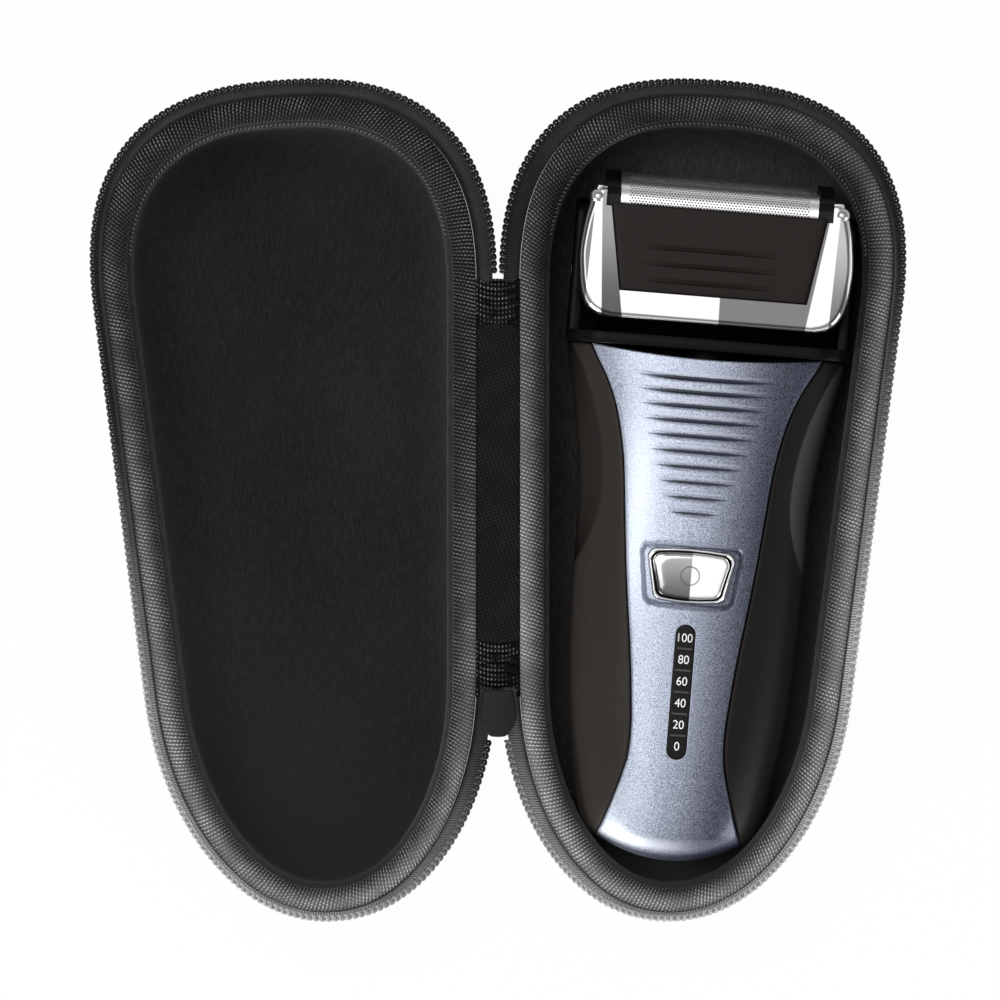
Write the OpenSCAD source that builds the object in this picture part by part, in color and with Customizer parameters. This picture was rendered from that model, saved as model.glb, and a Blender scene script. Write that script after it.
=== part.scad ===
// Zipped hard case for an electric foil shaver, lying open with the shaver in its right half.
// X runs across the two halves, Y along them towards the shaver's head, Z up from the table.
// The hinge line is X = 0 at the height of the parting plane.

/* [Case halves] */
// Half width of the zipper line at the middle of a half
half_w = 44.4; // [42:0.2:48]
// Length from the middle to the top and bottom of the zipper line
half_len = 99; // [94:0.5:104]
// Widening of the half width for each millimetre towards the top
taper = 0.065; // [0.05:0.005:0.08]
// Height of the parting plane, where the two halves meet when closed
parting_z = 34; // [33:0.5:38]
// How far the zipper tape rises from the rim to the parting plane
tape_rise = 3; // [2.6:0.1:4]
// Thickness of the moulded foam shell
shell_t = 2.6; // [2.2:0.1:3.2]
// Thickness of the jersey lining
lining_t = 1.0; // [0.7:0.1:1.3]
// Radius between the outer wall and the bottom
foot_r = 12; // [9:0.5:14]
// Slope of the walls, in degrees
draft = 4; // [2:0.5:5]

/* [Rim and zipper] */
// Width of the tape beside the outer wall
tape_side = 3.75; // [3:0.25:4.5]
// Width of the tape at the top end
tape_top = 5; // [4:0.25:6]
// Width of the tape at the bottom end
tape_bottom = 3; // [2.8:0.2:4]
// Half the distance between the two rims along the hinge
hinge_half = 5.9; // [5.4:0.1:6.6]
// Thickness of the binding tape round the rim
binding_t = 0.8; // [0.6:0.1:1]
// Height of the binding's rounded crown above the rim
crown_h = 1.4; // [1:0.1:1.8]
// Distance from one zipper tooth to the next
tooth_pitch = 1.57; // [1.5:0.01:2]
// Width of one zipper tooth
tooth_w = 0.62; // [0.5:0.02:0.66]
// Width of the zipper slider
slider_w = 9.4; // [8.6:0.2:10]
// Length of the zipper slider
slider_len = 11.4; // [10.6:0.2:12]
// Length of the pull tab
pull_len = 21; // [16:0.5:22]
// Length of the woven hinge panel
web_len = 75; // [66:1:76]

/* [Shaver] */
// Length of the case that the handle doesn't take: the head, the rim and the room at both ends
head_and_room = 78; // [78:0.5:84]
// Thickness of the handle
body_thick = 35; // [34:0.5:36]
// Wall of the moulded handle
wall = 1.8; // [1.5:0.1:2.2]
// Slant of the shaver in its half, in degrees
shaver_slant = 4.6; // [4:0.1:5]
// Radius of a foil
foil_r = 4.6; // [4.4:0.1:4.8]
// Room across a half beside the shaver's neck
side_room = 11; // [11:0.2:13]
// Tilt of the shaving head towards the front, in degrees
head_tilt = 12; // [10:0.5:14]
// Width of the power button at its top edge
button_w = 15.4; // [14:0.2:16.4]
// Travel of the power button
button_travel = 0.8; // [0.5:0.1:1]
// Length of the charge gauge
gauge_len = 31.8; // [28:0.2:33]
// Width of the charge gauge
gauge_w = 4.8; // [4.2:0.1:5.4]
// Number of grip grooves across the front panel
groove_n = 10; // [6:1:10]
// Radius of the motor can
motor_r = 10.5; // [9:0.1:10.8]

/* [Hidden] */
node_eps = 0.01;

// Clearances
fit_gap = 0.1;
move_gap = 0.3;
row_gap = 0.15;

// The shaver's own sizes follow the half that holds it.
body_len = 2 * half_len - head_and_room;
arm_out = half_w - side_room;
arm_t = 3;
arm_in = arm_out - arm_t;
foil_len = 2 * (arm_in - 7.2);
long_k = body_len / 120;
wide_k = arm_out / 33.4;
thick_k = body_thick / 35;

// The outline of a half, in its own axes: u across, v along. v is 0 at the middle.
shoulder_top = half_len - 53;
shoulder_bottom = 55 - half_len;
end_power_top = 2.5;
end_power_bottom = 2.1;
turn = atan(taper);
rim_shift = (hinge_half - tape_side) / 2;
rim_half_w = half_w - (hinge_half + tape_side) / 2;
side_steps = 6;
end_steps = 18;
ring_n = 2 * side_steps + 2 * end_steps;
rim_z = parting_z - tape_rise;
inner_t = shell_t + fit_gap + lining_t;
floor_z = inner_t;

// The woven hinge panel, the folded tape ends beyond it, and the slider
web_t = 1.0;
web_mid_y = 4;
web_half_w = hinge_half - binding_t - fit_gap - move_gap;
web_top = web_mid_y + web_len / 2;
web_bottom = web_mid_y - web_len / 2;
fold_len_top = 9;
fold_len_bottom = 10.4;
slider_top = web_bottom - fold_len_bottom - move_gap - fit_gap;
slider_low_z = parting_z - 2.6;
slider_plate = 1.1;
slider_hole = 2.4;

function power_of(x, power) = pow(max(0, x), 2 / power);

// A point of the outline at station a, from 0 to ring_n, counted anticlockwise from the outer side.
function outline_uv(a, w0, top, bottom) =
    let (s = a % ring_n, i1 = side_steps, i2 = i1 + end_steps, i3 = i2 + side_steps)
    s < i1 ? let (v = shoulder_bottom + (shoulder_top - shoulder_bottom) * s / side_steps)
        [w0 + taper * v, v]
    : s <= i2 ? let (t = 180 * (s - i1) / end_steps,
            v = shoulder_top + (top - shoulder_top) * power_of(sin(t), end_power_top))
        [sign(cos(t)) * power_of(abs(cos(t)), end_power_top) * (w0 + taper * v), v]
    : s < i3 ? let (v = shoulder_top - (shoulder_top - shoulder_bottom) * (s - i2) / side_steps)
        [-(w0 + taper * v), v]
    : let (t = 180 * (s - i3) / end_steps,
            v = shoulder_bottom - (bottom + shoulder_bottom) * power_of(sin(t), end_power_bottom))
        [-sign(cos(t)) * power_of(abs(cos(t)), end_power_bottom) * (w0 + taper * v), v];

function place_xy(u, v) = [
    half_w * cos(turn) + row_gap + u * cos(turn) + v * sin(turn),
    v * cos(turn) - u * sin(turn)
];
function zip_xy(a, e) =
    let (q = outline_uv(a, half_w - e, half_len - e, half_len - e)) place_xy(q[0], q[1]);
function rim_xy(a, e) =
    let (q = outline_uv(a, rim_half_w - e, half_len - tape_top - e, half_len - tape_bottom - e))
    place_xy(q[0] + rim_shift, q[1]);

// The zipper line's extent along Y is made even about the origin.
outline_ys = [for (i = [0:0.25:ring_n]) zip_xy(i, 0)[1]];
mid_y = (max(outline_ys) + min(outline_ys)) / 2;

function wall_e(z) = (rim_z - z) * tan(draft);
function fillet_e(r, inset, a) = wall_e(foot_r) + inset + r * (1 - cos(a));

// Rings of a bowl surface that lies inset inside the outer wall, from its floor up to the rim.
function bowl_rings(inset, steps) = let (r = foot_r - inset) concat(
    [for (k = [steps:-1:0]) let (a = 90 * k / steps) [fillet_e(r, inset, a), inset + r * (1 - sin(a))]],
    [[inset + wall_e(rim_z - 9), rim_z - 9], [inset, rim_z]]
);
function ring(e, z) = [for (i = [0:ring_n - 1]) let (q = rim_xy(i, e)) [q[0], q[1] - mid_y, z]];
function reversed(list) = [for (i = [len(list) - 1:-1:0]) list[i]];
function joined(lists) = [for (a = lists) for (b = a) b];
function centre_of(points) = [for (k = [0:2]) let (s = [for (p = points) p[k]]) (max(s) + min(s)) / 2];

// Triangles between two closed rows of n points that start at indices a and b.
function band(a, b, n) = [
    for (i = [0:n - 1]) let (j = (i + 1) % n) each [[a + i, b + i, b + j], [a + i, b + j, a + j]]
];

// A solid through closed rings, with a fan over its first and last ring.
module skin(rings) {
    n = len(rings[0]);
    m = len(rings);
    points = concat(joined(rings), [centre_of(rings[0]), centre_of(rings[m - 1])]);
    polyhedron(points, concat(
        joined([for (k = [0:m - 2]) band(k * n, (k + 1) * n, n)]),
        [for (i = [0:n - 1]) [m * n, i, (i + 1) % n]],
        [for (i = [0:n - 1]) [m * n + 1, (m - 1) * n + (i + 1) % n, (m - 1) * n + i]]
    ), convexity = 6);
}

// A solid through closed rings that ends where it began.
module loop_skin(rings) {
    n = len(rings[0]);
    m = len(rings);
    polyhedron(joined(rings),
        joined([for (k = [0:m - 1]) band(k * n, ((k + 1) % m) * n, n)]), convexity = 6);
}

// A curved wall between an outer and an inner grid of points.
module wall_skin(outer, inner) {
    c = len(outer[0]);
    m = len(outer);
    n = 2 * c;
    rings = [for (k = [0:m - 1]) concat(outer[k], reversed(inner[k]))];
    function cap(k, flip) = [for (j = [0:c - 2])
        let (f = [k * n + j, k * n + j + 1, k * n + n - 2 - j, k * n + n - 1 - j])
        each flip ? [[f[0], f[2], f[1]], [f[0], f[3], f[2]]] : [[f[0], f[1], f[2]], [f[0], f[2], f[3]]]];
    polyhedron(joined(rings), concat(
        joined([for (k = [0:m - 2]) band(k * n, (k + 1) * n, n)]), cap(0, false), cap(m - 1, true)
    ), convexity = 6);
}

/* Case halves: the base is drawn, and the lid is its mirror image */

module half_shell() {
    outer = bowl_rings(0, 5);
    inner = reversed(bowl_rings(shell_t, 4));
    skin([for (r = concat(outer, inner)) ring(r[0], r[1])]);
}

module half_lining() {
    outer = bowl_rings(shell_t + fit_gap, 4);
    inner = reversed(bowl_rings(inner_t, 4));
    skin([for (r = concat(outer, inner)) ring(r[0], r[1])]);
}

binding_drop_out = 3.2;
binding_drop_in = 4;
module half_binding() {
    out_e = -fit_gap - binding_t;
    in_e = inner_t + fit_gap + binding_t;
    mid_e = (out_e + in_e) / 2;
    low_out = rim_z - binding_drop_out;
    low_in = rim_z - binding_drop_in;
    crown = [for (a = [162:-36:18]) [
        mid_e - (in_e - out_e) / 2 * cos(180 - a), rim_z + fit_gap + crown_h * sin(a)]];
    section = concat(
        [[-fit_gap, low_out], [out_e, low_out], [out_e, rim_z]],
        crown,
        [[in_e, rim_z], [in_e + wall_e(low_in), low_in], [in_e + wall_e(low_in) - binding_t, low_in],
            [in_e - binding_t, rim_z + fit_gap], [-fit_gap, rim_z + fit_gap]]
    );
    loop_skin([for (r = section) ring(r[0], r[1])]);
}

// The tape and the teeth start just past the slider and stop just past the top fold.
zip_first_y = slider_top - slider_len - move_gap;
zip_last_y = web_top + fit_gap + fold_len_top + 3 * move_gap;
zip_start = lookup(-zip_first_y, [for (a = [30:0.1:40]) [mid_y - zip_xy(a, 0)[1], a]]);
zip_end = lookup(-zip_last_y, [for (a = [60:0.1:75]) [mid_y - zip_xy(a, 0)[1], a]]);
tape_t = 0.4;
spine_out = 0.9;
spine_in = 1.4;
tooth_t = 1.3;
tooth_low = tooth_t + row_gap;

module half_tape() {
    steps = concat([zip_start], [for (a = [ceil(zip_start + 0.1):floor(zip_end - 0.1)]) a], [zip_end]);
    foot_e = -fit_gap - binding_t - fit_gap;
    head_e = spine_in + 2 * fit_gap;
    skin([for (a = reversed(steps)) [
        tape_point(rim_xy(a, foot_e), rim_z - 1.6), tape_point(rim_xy(a, foot_e - tape_t), rim_z - 1.6),
        tape_point(zip_xy(a, head_e), parting_z - tooth_low + tape_t),
        tape_point(zip_xy(a, head_e + tape_t), parting_z - tooth_low + tape_t)
    ]]);
}
function tape_point(q, z) = [q[0], q[1] - mid_y, z];

zip_stations = [for (k = [0:200]) zip_start + (zip_end - zip_start) * k / 200];
zip_points = [for (a = zip_stations) zip_xy(a, 0)];
function run_to(i) = i == 0 ? 0 : norm(zip_points[i] - zip_points[i - 1]);
function sums(list, i = 0, total = 0) =
    i >= len(list) ? [] : concat([total + list[i]], sums(list, i + 1, total + list[i]));
zip_runs = sums([for (i = [0:len(zip_points) - 1]) run_to(i)]);
zip_table = [for (i = [0:len(zip_runs) - 1]) [zip_runs[i], zip_stations[i]]];
zip_length = zip_runs[len(zip_runs) - 1];
tooth_n = floor((zip_length - 2 * tooth_pitch) / tooth_pitch);
function at_run(s, e) = let (q = zip_xy(lookup(s, zip_table), e)) [q[0], q[1] - mid_y];

// One row of the zipper: teeth on a spine, set along the line by the given share of a pitch.
module half_teeth(phase) {
    comb = concat(
        joined([for (k = [0:tooth_n - 1]) let (s = (k + 0.6 + phase) * tooth_pitch) [
            at_run(s - tooth_w / 2, spine_out), at_run(s - tooth_w / 2, 0),
            at_run(s + tooth_w / 2, 0), at_run(s + tooth_w / 2, spine_out)
        ]]),
        [at_run(zip_length, spine_out)],
        [for (i = [len(zip_table) - 1:-4:0]) at_run(zip_table[i][0], spine_in)],
        [at_run(0, spine_in), at_run(0, spine_out)]
    );
    translate([0, 0, parting_z - tooth_low]) linear_extrude(tooth_t) polygon(comb);
}

shell_grey = [0.11, 0.11, 0.12];
module base_shell() { color(shell_grey) half_shell(); }
module lid_shell() { color(shell_grey) mirror([1, 0, 0]) half_shell(); }
module base_lining() { color([0.09, 0.09, 0.09]) half_lining(); }
module lid_lining() { color([0.09, 0.09, 0.09]) mirror([1, 0, 0]) half_lining(); }
module base_binding() { color([0.2, 0.2, 0.2]) half_binding(); }
module lid_binding() { color([0.2, 0.2, 0.2]) mirror([1, 0, 0]) half_binding(); }
module base_zip_tape() { color([0.26, 0.26, 0.27]) half_tape(); }
module lid_zip_tape() { color([0.26, 0.26, 0.27]) mirror([1, 0, 0]) half_tape(); }
module base_zip_teeth() { color([0.16, 0.16, 0.16]) half_teeth(0); }
module lid_zip_teeth() { color([0.16, 0.16, 0.16]) mirror([1, 0, 0]) half_teeth(0.5); }

/* Hinge, end folds, slider and pull */

// A flat woven strip with soft long edges, from y0 to y1 and up from z0.
module soft_strip(w, y0, y1, z0, t) {
    translate([0, y1, z0]) rotate([90, 0, 0]) linear_extrude(y1 - y0) hull() {
        for (side = [-1, 1]) translate([side * (w - t / 2), t / 2]) circle(d = t, $fn = 24);
    }
}

module hinge_web() {
    color([0.13, 0.13, 0.13]) soft_strip(web_half_w, web_bottom, web_top, rim_z - 0.4, web_t);
}

// The joined tape ends, folded over in ribs that lie across the hinge.
module end_fold(y0, y1, ribs) {
    pitch = (y1 - y0) / ribs;
    fold_w = slider_w / 2 - 0.4;
    for (i = [0:ribs - 1])
        translate([-fold_w, y0 + pitch * (i + 0.5), rim_z + web_t / 2])
            rotate([0, 90, 0]) cylinder(d = pitch * 1.06, h = 2 * fold_w, $fn = 24);
}
module zip_end_fold_top() {
    color([0.17, 0.17, 0.17]) end_fold(web_top + fit_gap, web_top + fit_gap + fold_len_top, 5);
}
module zip_end_fold_bottom() {
    color([0.17, 0.17, 0.17])
        end_fold(web_bottom - fit_gap - fold_len_bottom, web_bottom - fit_gap, 6);
}

// The shield outline of the slider, with its rounded nose towards the teeth.
module slider_outline(inset) {
    w = slider_w / 2 - inset;
    nose = w * 0.86;
    hull() {
        translate([0, slider_top - slider_len + inset + nose]) circle(r = nose, $fn = 32);
        translate([0, slider_top - slider_len * 0.55]) scale([1, 0.7]) circle(r = w, $fn = 32);
        translate([-w * 0.84, slider_top - 2 - inset]) square([w * 1.68, 2]);
    }
}

pull_pin_r = 0.8;
pull_pin_z = slider_low_z - 1.5;
pull_y = slider_top - slider_len * 0.5;
module zip_slider() {
    color([0.22, 0.22, 0.23]) difference() {
        union() {
            translate([0, 0, slider_low_z]) linear_extrude(slider_plate) slider_outline(0);
            translate([0, 0, slider_low_z + slider_plate + slider_hole])
                linear_extrude(slider_plate) slider_outline(0.2);
            // The wedge that parts the two rows
            translate([0, 0, slider_low_z]) linear_extrude(slider_plate * 2 + slider_hole)
                translate([0, slider_top - slider_len * 0.78]) scale([0.6, 1]) circle(r = 1.8, $fn = 32);
            // The bridge that holds the pull
            for (side = [-1, 1]) translate([side * 1.7 - 0.6, pull_y - 1.6, pull_pin_z - 1.4])
                cube([1.2, 3.2, slider_low_z - pull_pin_z + 1.5]);
        }
        translate([-slider_w, pull_y, pull_pin_z]) rotate([0, 90, 0])
            cylinder(r = pull_pin_r, h = 2 * slider_w, $fn = 32);
    }
}

// The pull hangs below the slider on its own cross pin.
module zip_pull() {
    neck_w = 2.2 - 2 * 0.25;
    color([0.2, 0.2, 0.21]) {
        translate([-2.25, pull_y, pull_pin_z]) rotate([0, 90, 0])
            cylinder(r = pull_pin_r - 0.05, h = 4.5, $fn = 32);
        translate([-neck_w / 2, pull_y - 0.9, pull_pin_z - 4]) cube([neck_w, 1.8, 4.2]);
        translate([0, pull_y + 0.9, pull_pin_z]) rotate([90, 0, 0]) linear_extrude(1.8) difference() {
            hull() {
                translate([-2.2, -4.6]) square([4.4, 1.2]);
                translate([-3, -pull_len + 1]) square([6, 4]);
                for (side = [-1, 1]) translate([side * 2, -pull_len + 1]) circle(r = 1, $fn = 32);
            }
            translate([0, -pull_len + 3.6]) circle(r = 1.3, $fn = 32);
        }
    }
}

/* Shaver, in its own axes: p across, q from the bottom end to the head, r up from its back */

shaver_x = half_w + 2.023 - (half_len - 14.2) * tan(shaver_slant);
shaver_y = 14.2 - half_len;
module in_case() {
    translate([shaver_x, shaver_y, floor_z + move_gap]) rotate([0, 0, -shaver_slant]) children();
}

mid_r = body_thick / 2;
handle_power = 2.5;
// Half widths of the handle and of the front panel along q, and half thicknesses, for a handle that is
// 120 long, 66.8 wide over its neck and 35 thick
handle_ws = [[0, 19.4], [4, 21], [10, 22.1], [16, 23], [22, 24], [30, 25.2], [40, 26.3], [50, 26.9],
    [60, 27.2], [82, 27.3], [92, 28.1], [100, 29.2], [108, 30.6], [116, 32.3], [122, 33.2]];
panel_ws = [[0, 17.2], [4, 16.4], [8.7, 15.3], [14, 13.8], [20, 12.1], [25, 11.1], [30, 10.9], [40, 11.6],
    [51, 12.8], [60, 14], [70, 15.2], [82, 16.4], [92, 17.4], [99, 18.6], [106, 20.4], [112, 22.8],
    [120, 27.2], [124, 28.6]];
handle_hs = [[0, 10.5], [1.5, 13], [4, 15], [8, 16.2], [14, 17], [24, 17.5], [60, 17.5], [90, 17],
    [106, 16.2], [124, 15.6]];
stations = long_k * [0, 1.5, 4, 8, 14, 20, 26, 32, 40, 50, 60, 70, 82, 92, 99, 106, 112, 117, 120];

function handle_w(q) = lookup(q / long_k, handle_ws) * wide_k;
function handle_h(q) = lookup(q / long_k, handle_hs) * thick_k;
function panel_w(q) = lookup(q / long_k, panel_ws) * wide_k;
// The bottom end bows out, and the neck end bows in.
function bowed(q, p) = q + (0.0161 * pow(max(0, 1 - q / long_k / 16), 2)) * p * p
    - 2 * pow(max(0, (q / long_k - 100) / 20), 2) * max(0, 1 - pow(p / wide_k / 27, 2));
function handle_point(q, a, inset) = let (
        w = handle_w(q) - inset, h = handle_h(q) - inset,
        p = sign(cos(a)) * w * power_of(abs(cos(a)), handle_power),
        r = mid_r + sign(sin(a)) * h * power_of(abs(sin(a)), handle_power))
    [p, bowed(q, p), r];
// The angle on the section at which the handle is p wide
function angle_at(q, p, inset) = acos(pow(min(1, p / (handle_w(q) - inset)), handle_power / 2));

seam_a = -22;
seam_gap = 0.2;

module grip(side) {
    cols = 9;
    function grid(inset) = [for (q = stations) let (a0 = angle_at(q, panel_w(q) + seam_gap, inset))
        [for (j = [0:cols - 1]) handle_point(q, seam_a + (a0 - seam_a) * j / (cols - 1), inset)]];
    mirror([side < 0 ? 1 : 0, 0, 0]) wall_skin(reversed(grid(0)), reversed(grid(wall)));
}
module left_grip() { color([0.13, 0.12, 0.11]) in_case() grip(-1); }
module right_grip() { color([0.13, 0.12, 0.11]) in_case() grip(1); }

module rear_housing() {
    cols = 17;
    a0 = seam_a - 1;
    a1 = -180 - a0;
    function grid(inset) = [for (q = stations)
        [for (j = [0:cols - 1]) handle_point(q, a0 + (a1 - a0) * j / (cols - 1), inset)]];
    color([0.09, 0.09, 0.09]) in_case() difference() {
        wall_skin(grid(0), grid(wall));
        trimmer_slot();
    }
}

// The front panel, with the button's well and the gauge's slot cut through it.
panel_t = 1.6;
button_q = 0.56 * body_len;
gauge_q = body_len / 3;
panel_stations = long_k * concat([0.3, 1.5, 4, 8, 14, 20, 26, 32, 40, 50, 60, 70, 78],
    [for (k = [0:19]) 81 + k * 1.8], [117.5, 120]);
groove_pitch = 0.03 * body_len;
groove_top = body_len - 5.6 * long_k;
groove_depth = 0.7;
function groove(q, p) = let (
        k = round((groove_top - q) / groove_pitch),
        half = (17.5 - k * 1.25) * wide_k,
        d = (groove_top - q) / groove_pitch - k)
    k < 0 || k >= groove_n ? 0
    : groove_depth * max(0, cos(360 * d)) * max(0, 1 - pow(p / half, 4));

module front_panel() {
    cols = 15;
    function grid(inset, grooved) = [for (q = panel_stations) [for (j = [0:cols - 1]) let (
            p = panel_w(q) * (2 * j / (cols - 1) - 1),
            w = handle_w(q) - inset,
            h = handle_h(q) - inset,
            r = mid_r + h * pow(max(0, 1 - pow(abs(p) / w, handle_power)), 1 / handle_power))
        [p, bowed(q, p), r - (grooved ? groove(q, p) : 0)]]];
    color([0.55, 0.6, 0.72]) in_case() difference() {
        wall_skin(grid(0, true), grid(panel_t, false));
        translate([0, button_q, mid_r]) linear_extrude(body_thick) button_outline(button_w + 5.2, 13);
        translate([0, gauge_q, mid_r]) linear_extrude(body_thick)
            pill(gauge_w / 2 + fit_gap, gauge_len + 2 * fit_gap);
    }
}

// A barrel outline, wider at the top, with round corners. w is its top width and h its height.
module button_outline(w, h) {
    c = 2.2;
    hull() {
        for (side = [-1, 1]) {
            translate([side * (w / 2 - c), h / 2 - c - 0.4]) circle(r = c, $fn = 32);
            translate([side * (w / 2 * 0.84 - c), -h / 2 + c + 0.4]) circle(r = c, $fn = 32);
        }
        for (end = [-1, 1]) translate([0, end * (h / 2 - c)]) circle(r = c, $fn = 32);
    }
}
module pill(r, len) {
    hull() for (side = [-1, 1]) translate([0, side * (len / 2 - r)]) circle(r = r, $fn = 32);
}

button_face_r = body_thick - 0.9;
bezel_low = body_thick - 5;
button_low = body_thick - 4.2;
module button_bezel() {
    color([0.8, 0.8, 0.82]) in_case() translate([0, button_q, 0]) difference() {
        translate([0, 0, bezel_low]) linear_extrude(button_face_r - 0.3 - bezel_low)
            button_outline(button_w + 5, 12.8);
        translate([0, 0, bezel_low - 1]) linear_extrude(body_thick)
            button_outline(button_w + 0.6, 11.2);
    }
}
module power_button() {
    color([0.86, 0.86, 0.88]) in_case() translate([0, button_q, button_low]) {
        linear_extrude(button_face_r - button_low) difference() {
            button_outline(button_w, 10.6);
            circle(r = 2.2, $fn = 48);
        }
        linear_extrude(button_face_r - button_low - 0.3) circle(r = 2.0, $fn = 48);
        linear_extrude(1) circle(r = 3, $fn = 48);
        translate([0, 0, -2.2]) cylinder(r = 1.4, h = 2.4, $fn = 32);
    }
}
board_r = body_thick - 10;
board_t = 1.2;
board_low_q = gauge_q - gauge_len / 2 - 2.1;
board_high_q = button_q + 10.8;
switch_gap = 0.15;
module switch() {
    color([0.2, 0.2, 0.2]) in_case() translate([0, button_q, board_r + board_t]) {
        translate([-3, -3, 0]) cube([6, 6, 1.4]);
        cylinder(r = 1.5, h = button_low - 2.2 - button_travel - switch_gap - board_r - board_t, $fn = 32);
    }
}
lamp_top = board_r + board_t + 2.9;
gauge_low = lamp_top + fit_gap;
module gauge_window() {
    top = body_thick - 0.35;
    cell = gauge_len / 6.25;
    color([0.05, 0.05, 0.06]) in_case() translate([0, gauge_q, 0]) difference() {
        translate([0, 0, gauge_low]) linear_extrude(top - gauge_low) pill(gauge_w / 2, gauge_len);
        for (k = [0:5]) translate([0, (k - 2.5) * cell, top - 0.3]) linear_extrude(1)
            square([gauge_w - 1.3, cell - 0.9], center = true);
    }
}

board_posts = [for (p = [-7, 7]) for (q = [board_low_q + 3, board_high_q - 3]) [p, q]];
module circuit_board() {
    color([0.1, 0.3, 0.16]) in_case() {
        translate([-9, board_low_q, board_r]) cube([18, board_high_q - board_low_q, board_t]);
        // The row of light blocks under the gauge
        translate([-1.4, gauge_q - gauge_len / 2 + 2, board_r + board_t])
            cube([2.8, gauge_len - 4, lamp_top - board_r - board_t]);
    }
}
module board_screws() {
    color([0.7, 0.7, 0.7]) in_case() for (post = board_posts)
        translate([post[0], post[1], board_r + board_t]) cylinder(r = 1.6, h = 1.1, $fn = 32);
}

// The chassis lies over the cells, and carries the board on posts and the motor in two cradles.
deck_r = body_thick - 18.1;
deck_t = 1.5;
deck_low_q = 13 * long_k;
deck_high_q = body_len - 32;
rail_p = motor_r + 0.6;
cell_r = deck_r / 2 - 1.6;
cell_mid_r = deck_r - 0.4 - cell_r;
cell_len = deck_high_q - deck_low_q - 25;
module chassis() {
    color([0.3, 0.3, 0.31]) in_case() difference() {
        union() {
            translate([-15, deck_low_q, deck_r]) cube([30, deck_high_q - deck_low_q, deck_t]);
            for (q = [deck_low_q, deck_high_q - 1.6])
                translate([-9, q, 3.4]) cube([18, 1.6, deck_r - 3.3]);
            for (post = board_posts) translate([post[0], post[1], deck_r + deck_t - 0.1])
                cylinder(r = 2.4, h = board_r - deck_r - deck_t + 0.1, $fn = 32);
            for (side = [-1, 1]) translate([side > 0 ? rail_p : -rail_p - 1.6, deck_high_q - 1.6, 6])
                cube([1.6, motor_q + motor_len - deck_high_q - 2, 4]);
            translate([-rail_p - 1.6, deck_high_q - 1.6, 6]) cube([2 * rail_p + 3.2, 1.6, 4]);
            for (q = [motor_q + 1.5, motor_q + motor_len - 5.5])
                translate([-rail_p - 1, q, 4.6]) cube([2 * rail_p + 2, 2, pivot_mid_r - 10]);
        }
        motor_can(fit_gap);
    }
}

module battery_cells() {
    color([0.75, 0.35, 0.12]) in_case() for (side = [-1, 1])
        translate([side * (cell_r + 0.3), deck_low_q + 13, cell_mid_r]) rotate([-90, 0, 0]) {
            cylinder(r = cell_r, h = cell_len, $fn = 48);
            cylinder(r = 2.6, h = cell_len + 1, $fn = 32);
        }
}
socket_r = 4.1;
module end_cap() {
    color([0.08, 0.08, 0.08]) in_case() difference() {
        skin([for (q = [0.5, 2.4]) [for (a = [0:12:348])
            let (s = handle_point(0, -a, wall + fit_gap + 0.1)) [s[0], bowed(0, s[0]) + q, s[2]]]]);
        translate([0, 8, mid_r]) rotate([90, 0, 0]) cylinder(r = socket_r, h = 12, $fn = 48);
    }
}
module charge_socket() {
    color([0.15, 0.15, 0.15]) in_case() translate([0, deck_low_q - 0.4, mid_r]) rotate([90, 0, 0])
        difference() {
            cylinder(r = socket_r, h = deck_low_q - 1, $fn = 48);
            translate([0, 0, 3]) cylinder(r = 2.8, h = 12, $fn = 48);
            for (side = [-1, 1]) translate([side * 1.2, 0, 0.5]) cylinder(r = 0.4, h = 12, $fn = 24);
        }
}

/* Motor and drive. The motor's axis runs through the head's pivot. */

pivot_q = body_len + 17;
pivot_mid_r = mid_r + 1;
block_q = pivot_q + 13.5;
block_mid_r = pivot_mid_r + 2.3;
pivot_r = 2;
motor_q = deck_high_q + 3;
motor_len = 23;
cam_offset = 1.2;
cam_r = 3.4;
cam_q = pivot_q - 9.6;
cam_t = 2.2;
pin_end_q = pivot_q - 1;
module motor_can(extra) {
    translate([0, motor_q, pivot_mid_r]) rotate([-90, 0, 0])
        cylinder(r = motor_r + extra, h = motor_len, $fn = 64);
}
module motor() {
    color([0.7, 0.7, 0.68]) in_case() difference() {
        union() {
            motor_can(0);
            translate([0, motor_q + motor_len, pivot_mid_r]) rotate([-90, 0, 0])
                cylinder(r = 3.5, h = 2, $fn = 48);
        }
        translate([0, motor_q + motor_len - 6, pivot_mid_r]) rotate([-90, 0, 0])
            cylinder(r = 1.05, h = 10, $fn = 32);
    }
}
module motor_cam() {
    shaft_q = motor_q + motor_len - 5.7;
    color([0.85, 0.85, 0.8]) in_case() translate([0, 0, pivot_mid_r]) rotate([-90, 0, 0]) {
        translate([0, 0, shaft_q]) cylinder(r = 1, h = cam_q - shaft_q + 0.2, $fn = 32);
        translate([0, 0, cam_q]) cylinder(r = cam_r, h = cam_t, $fn = 48);
        translate([cam_offset, 0, cam_q + cam_t - 0.2])
            cylinder(r = 1, h = pin_end_q - cam_q - cam_t + 0.2, $fn = 32);
    }
}

/* Neck, with the two arms that hold the head */

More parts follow.
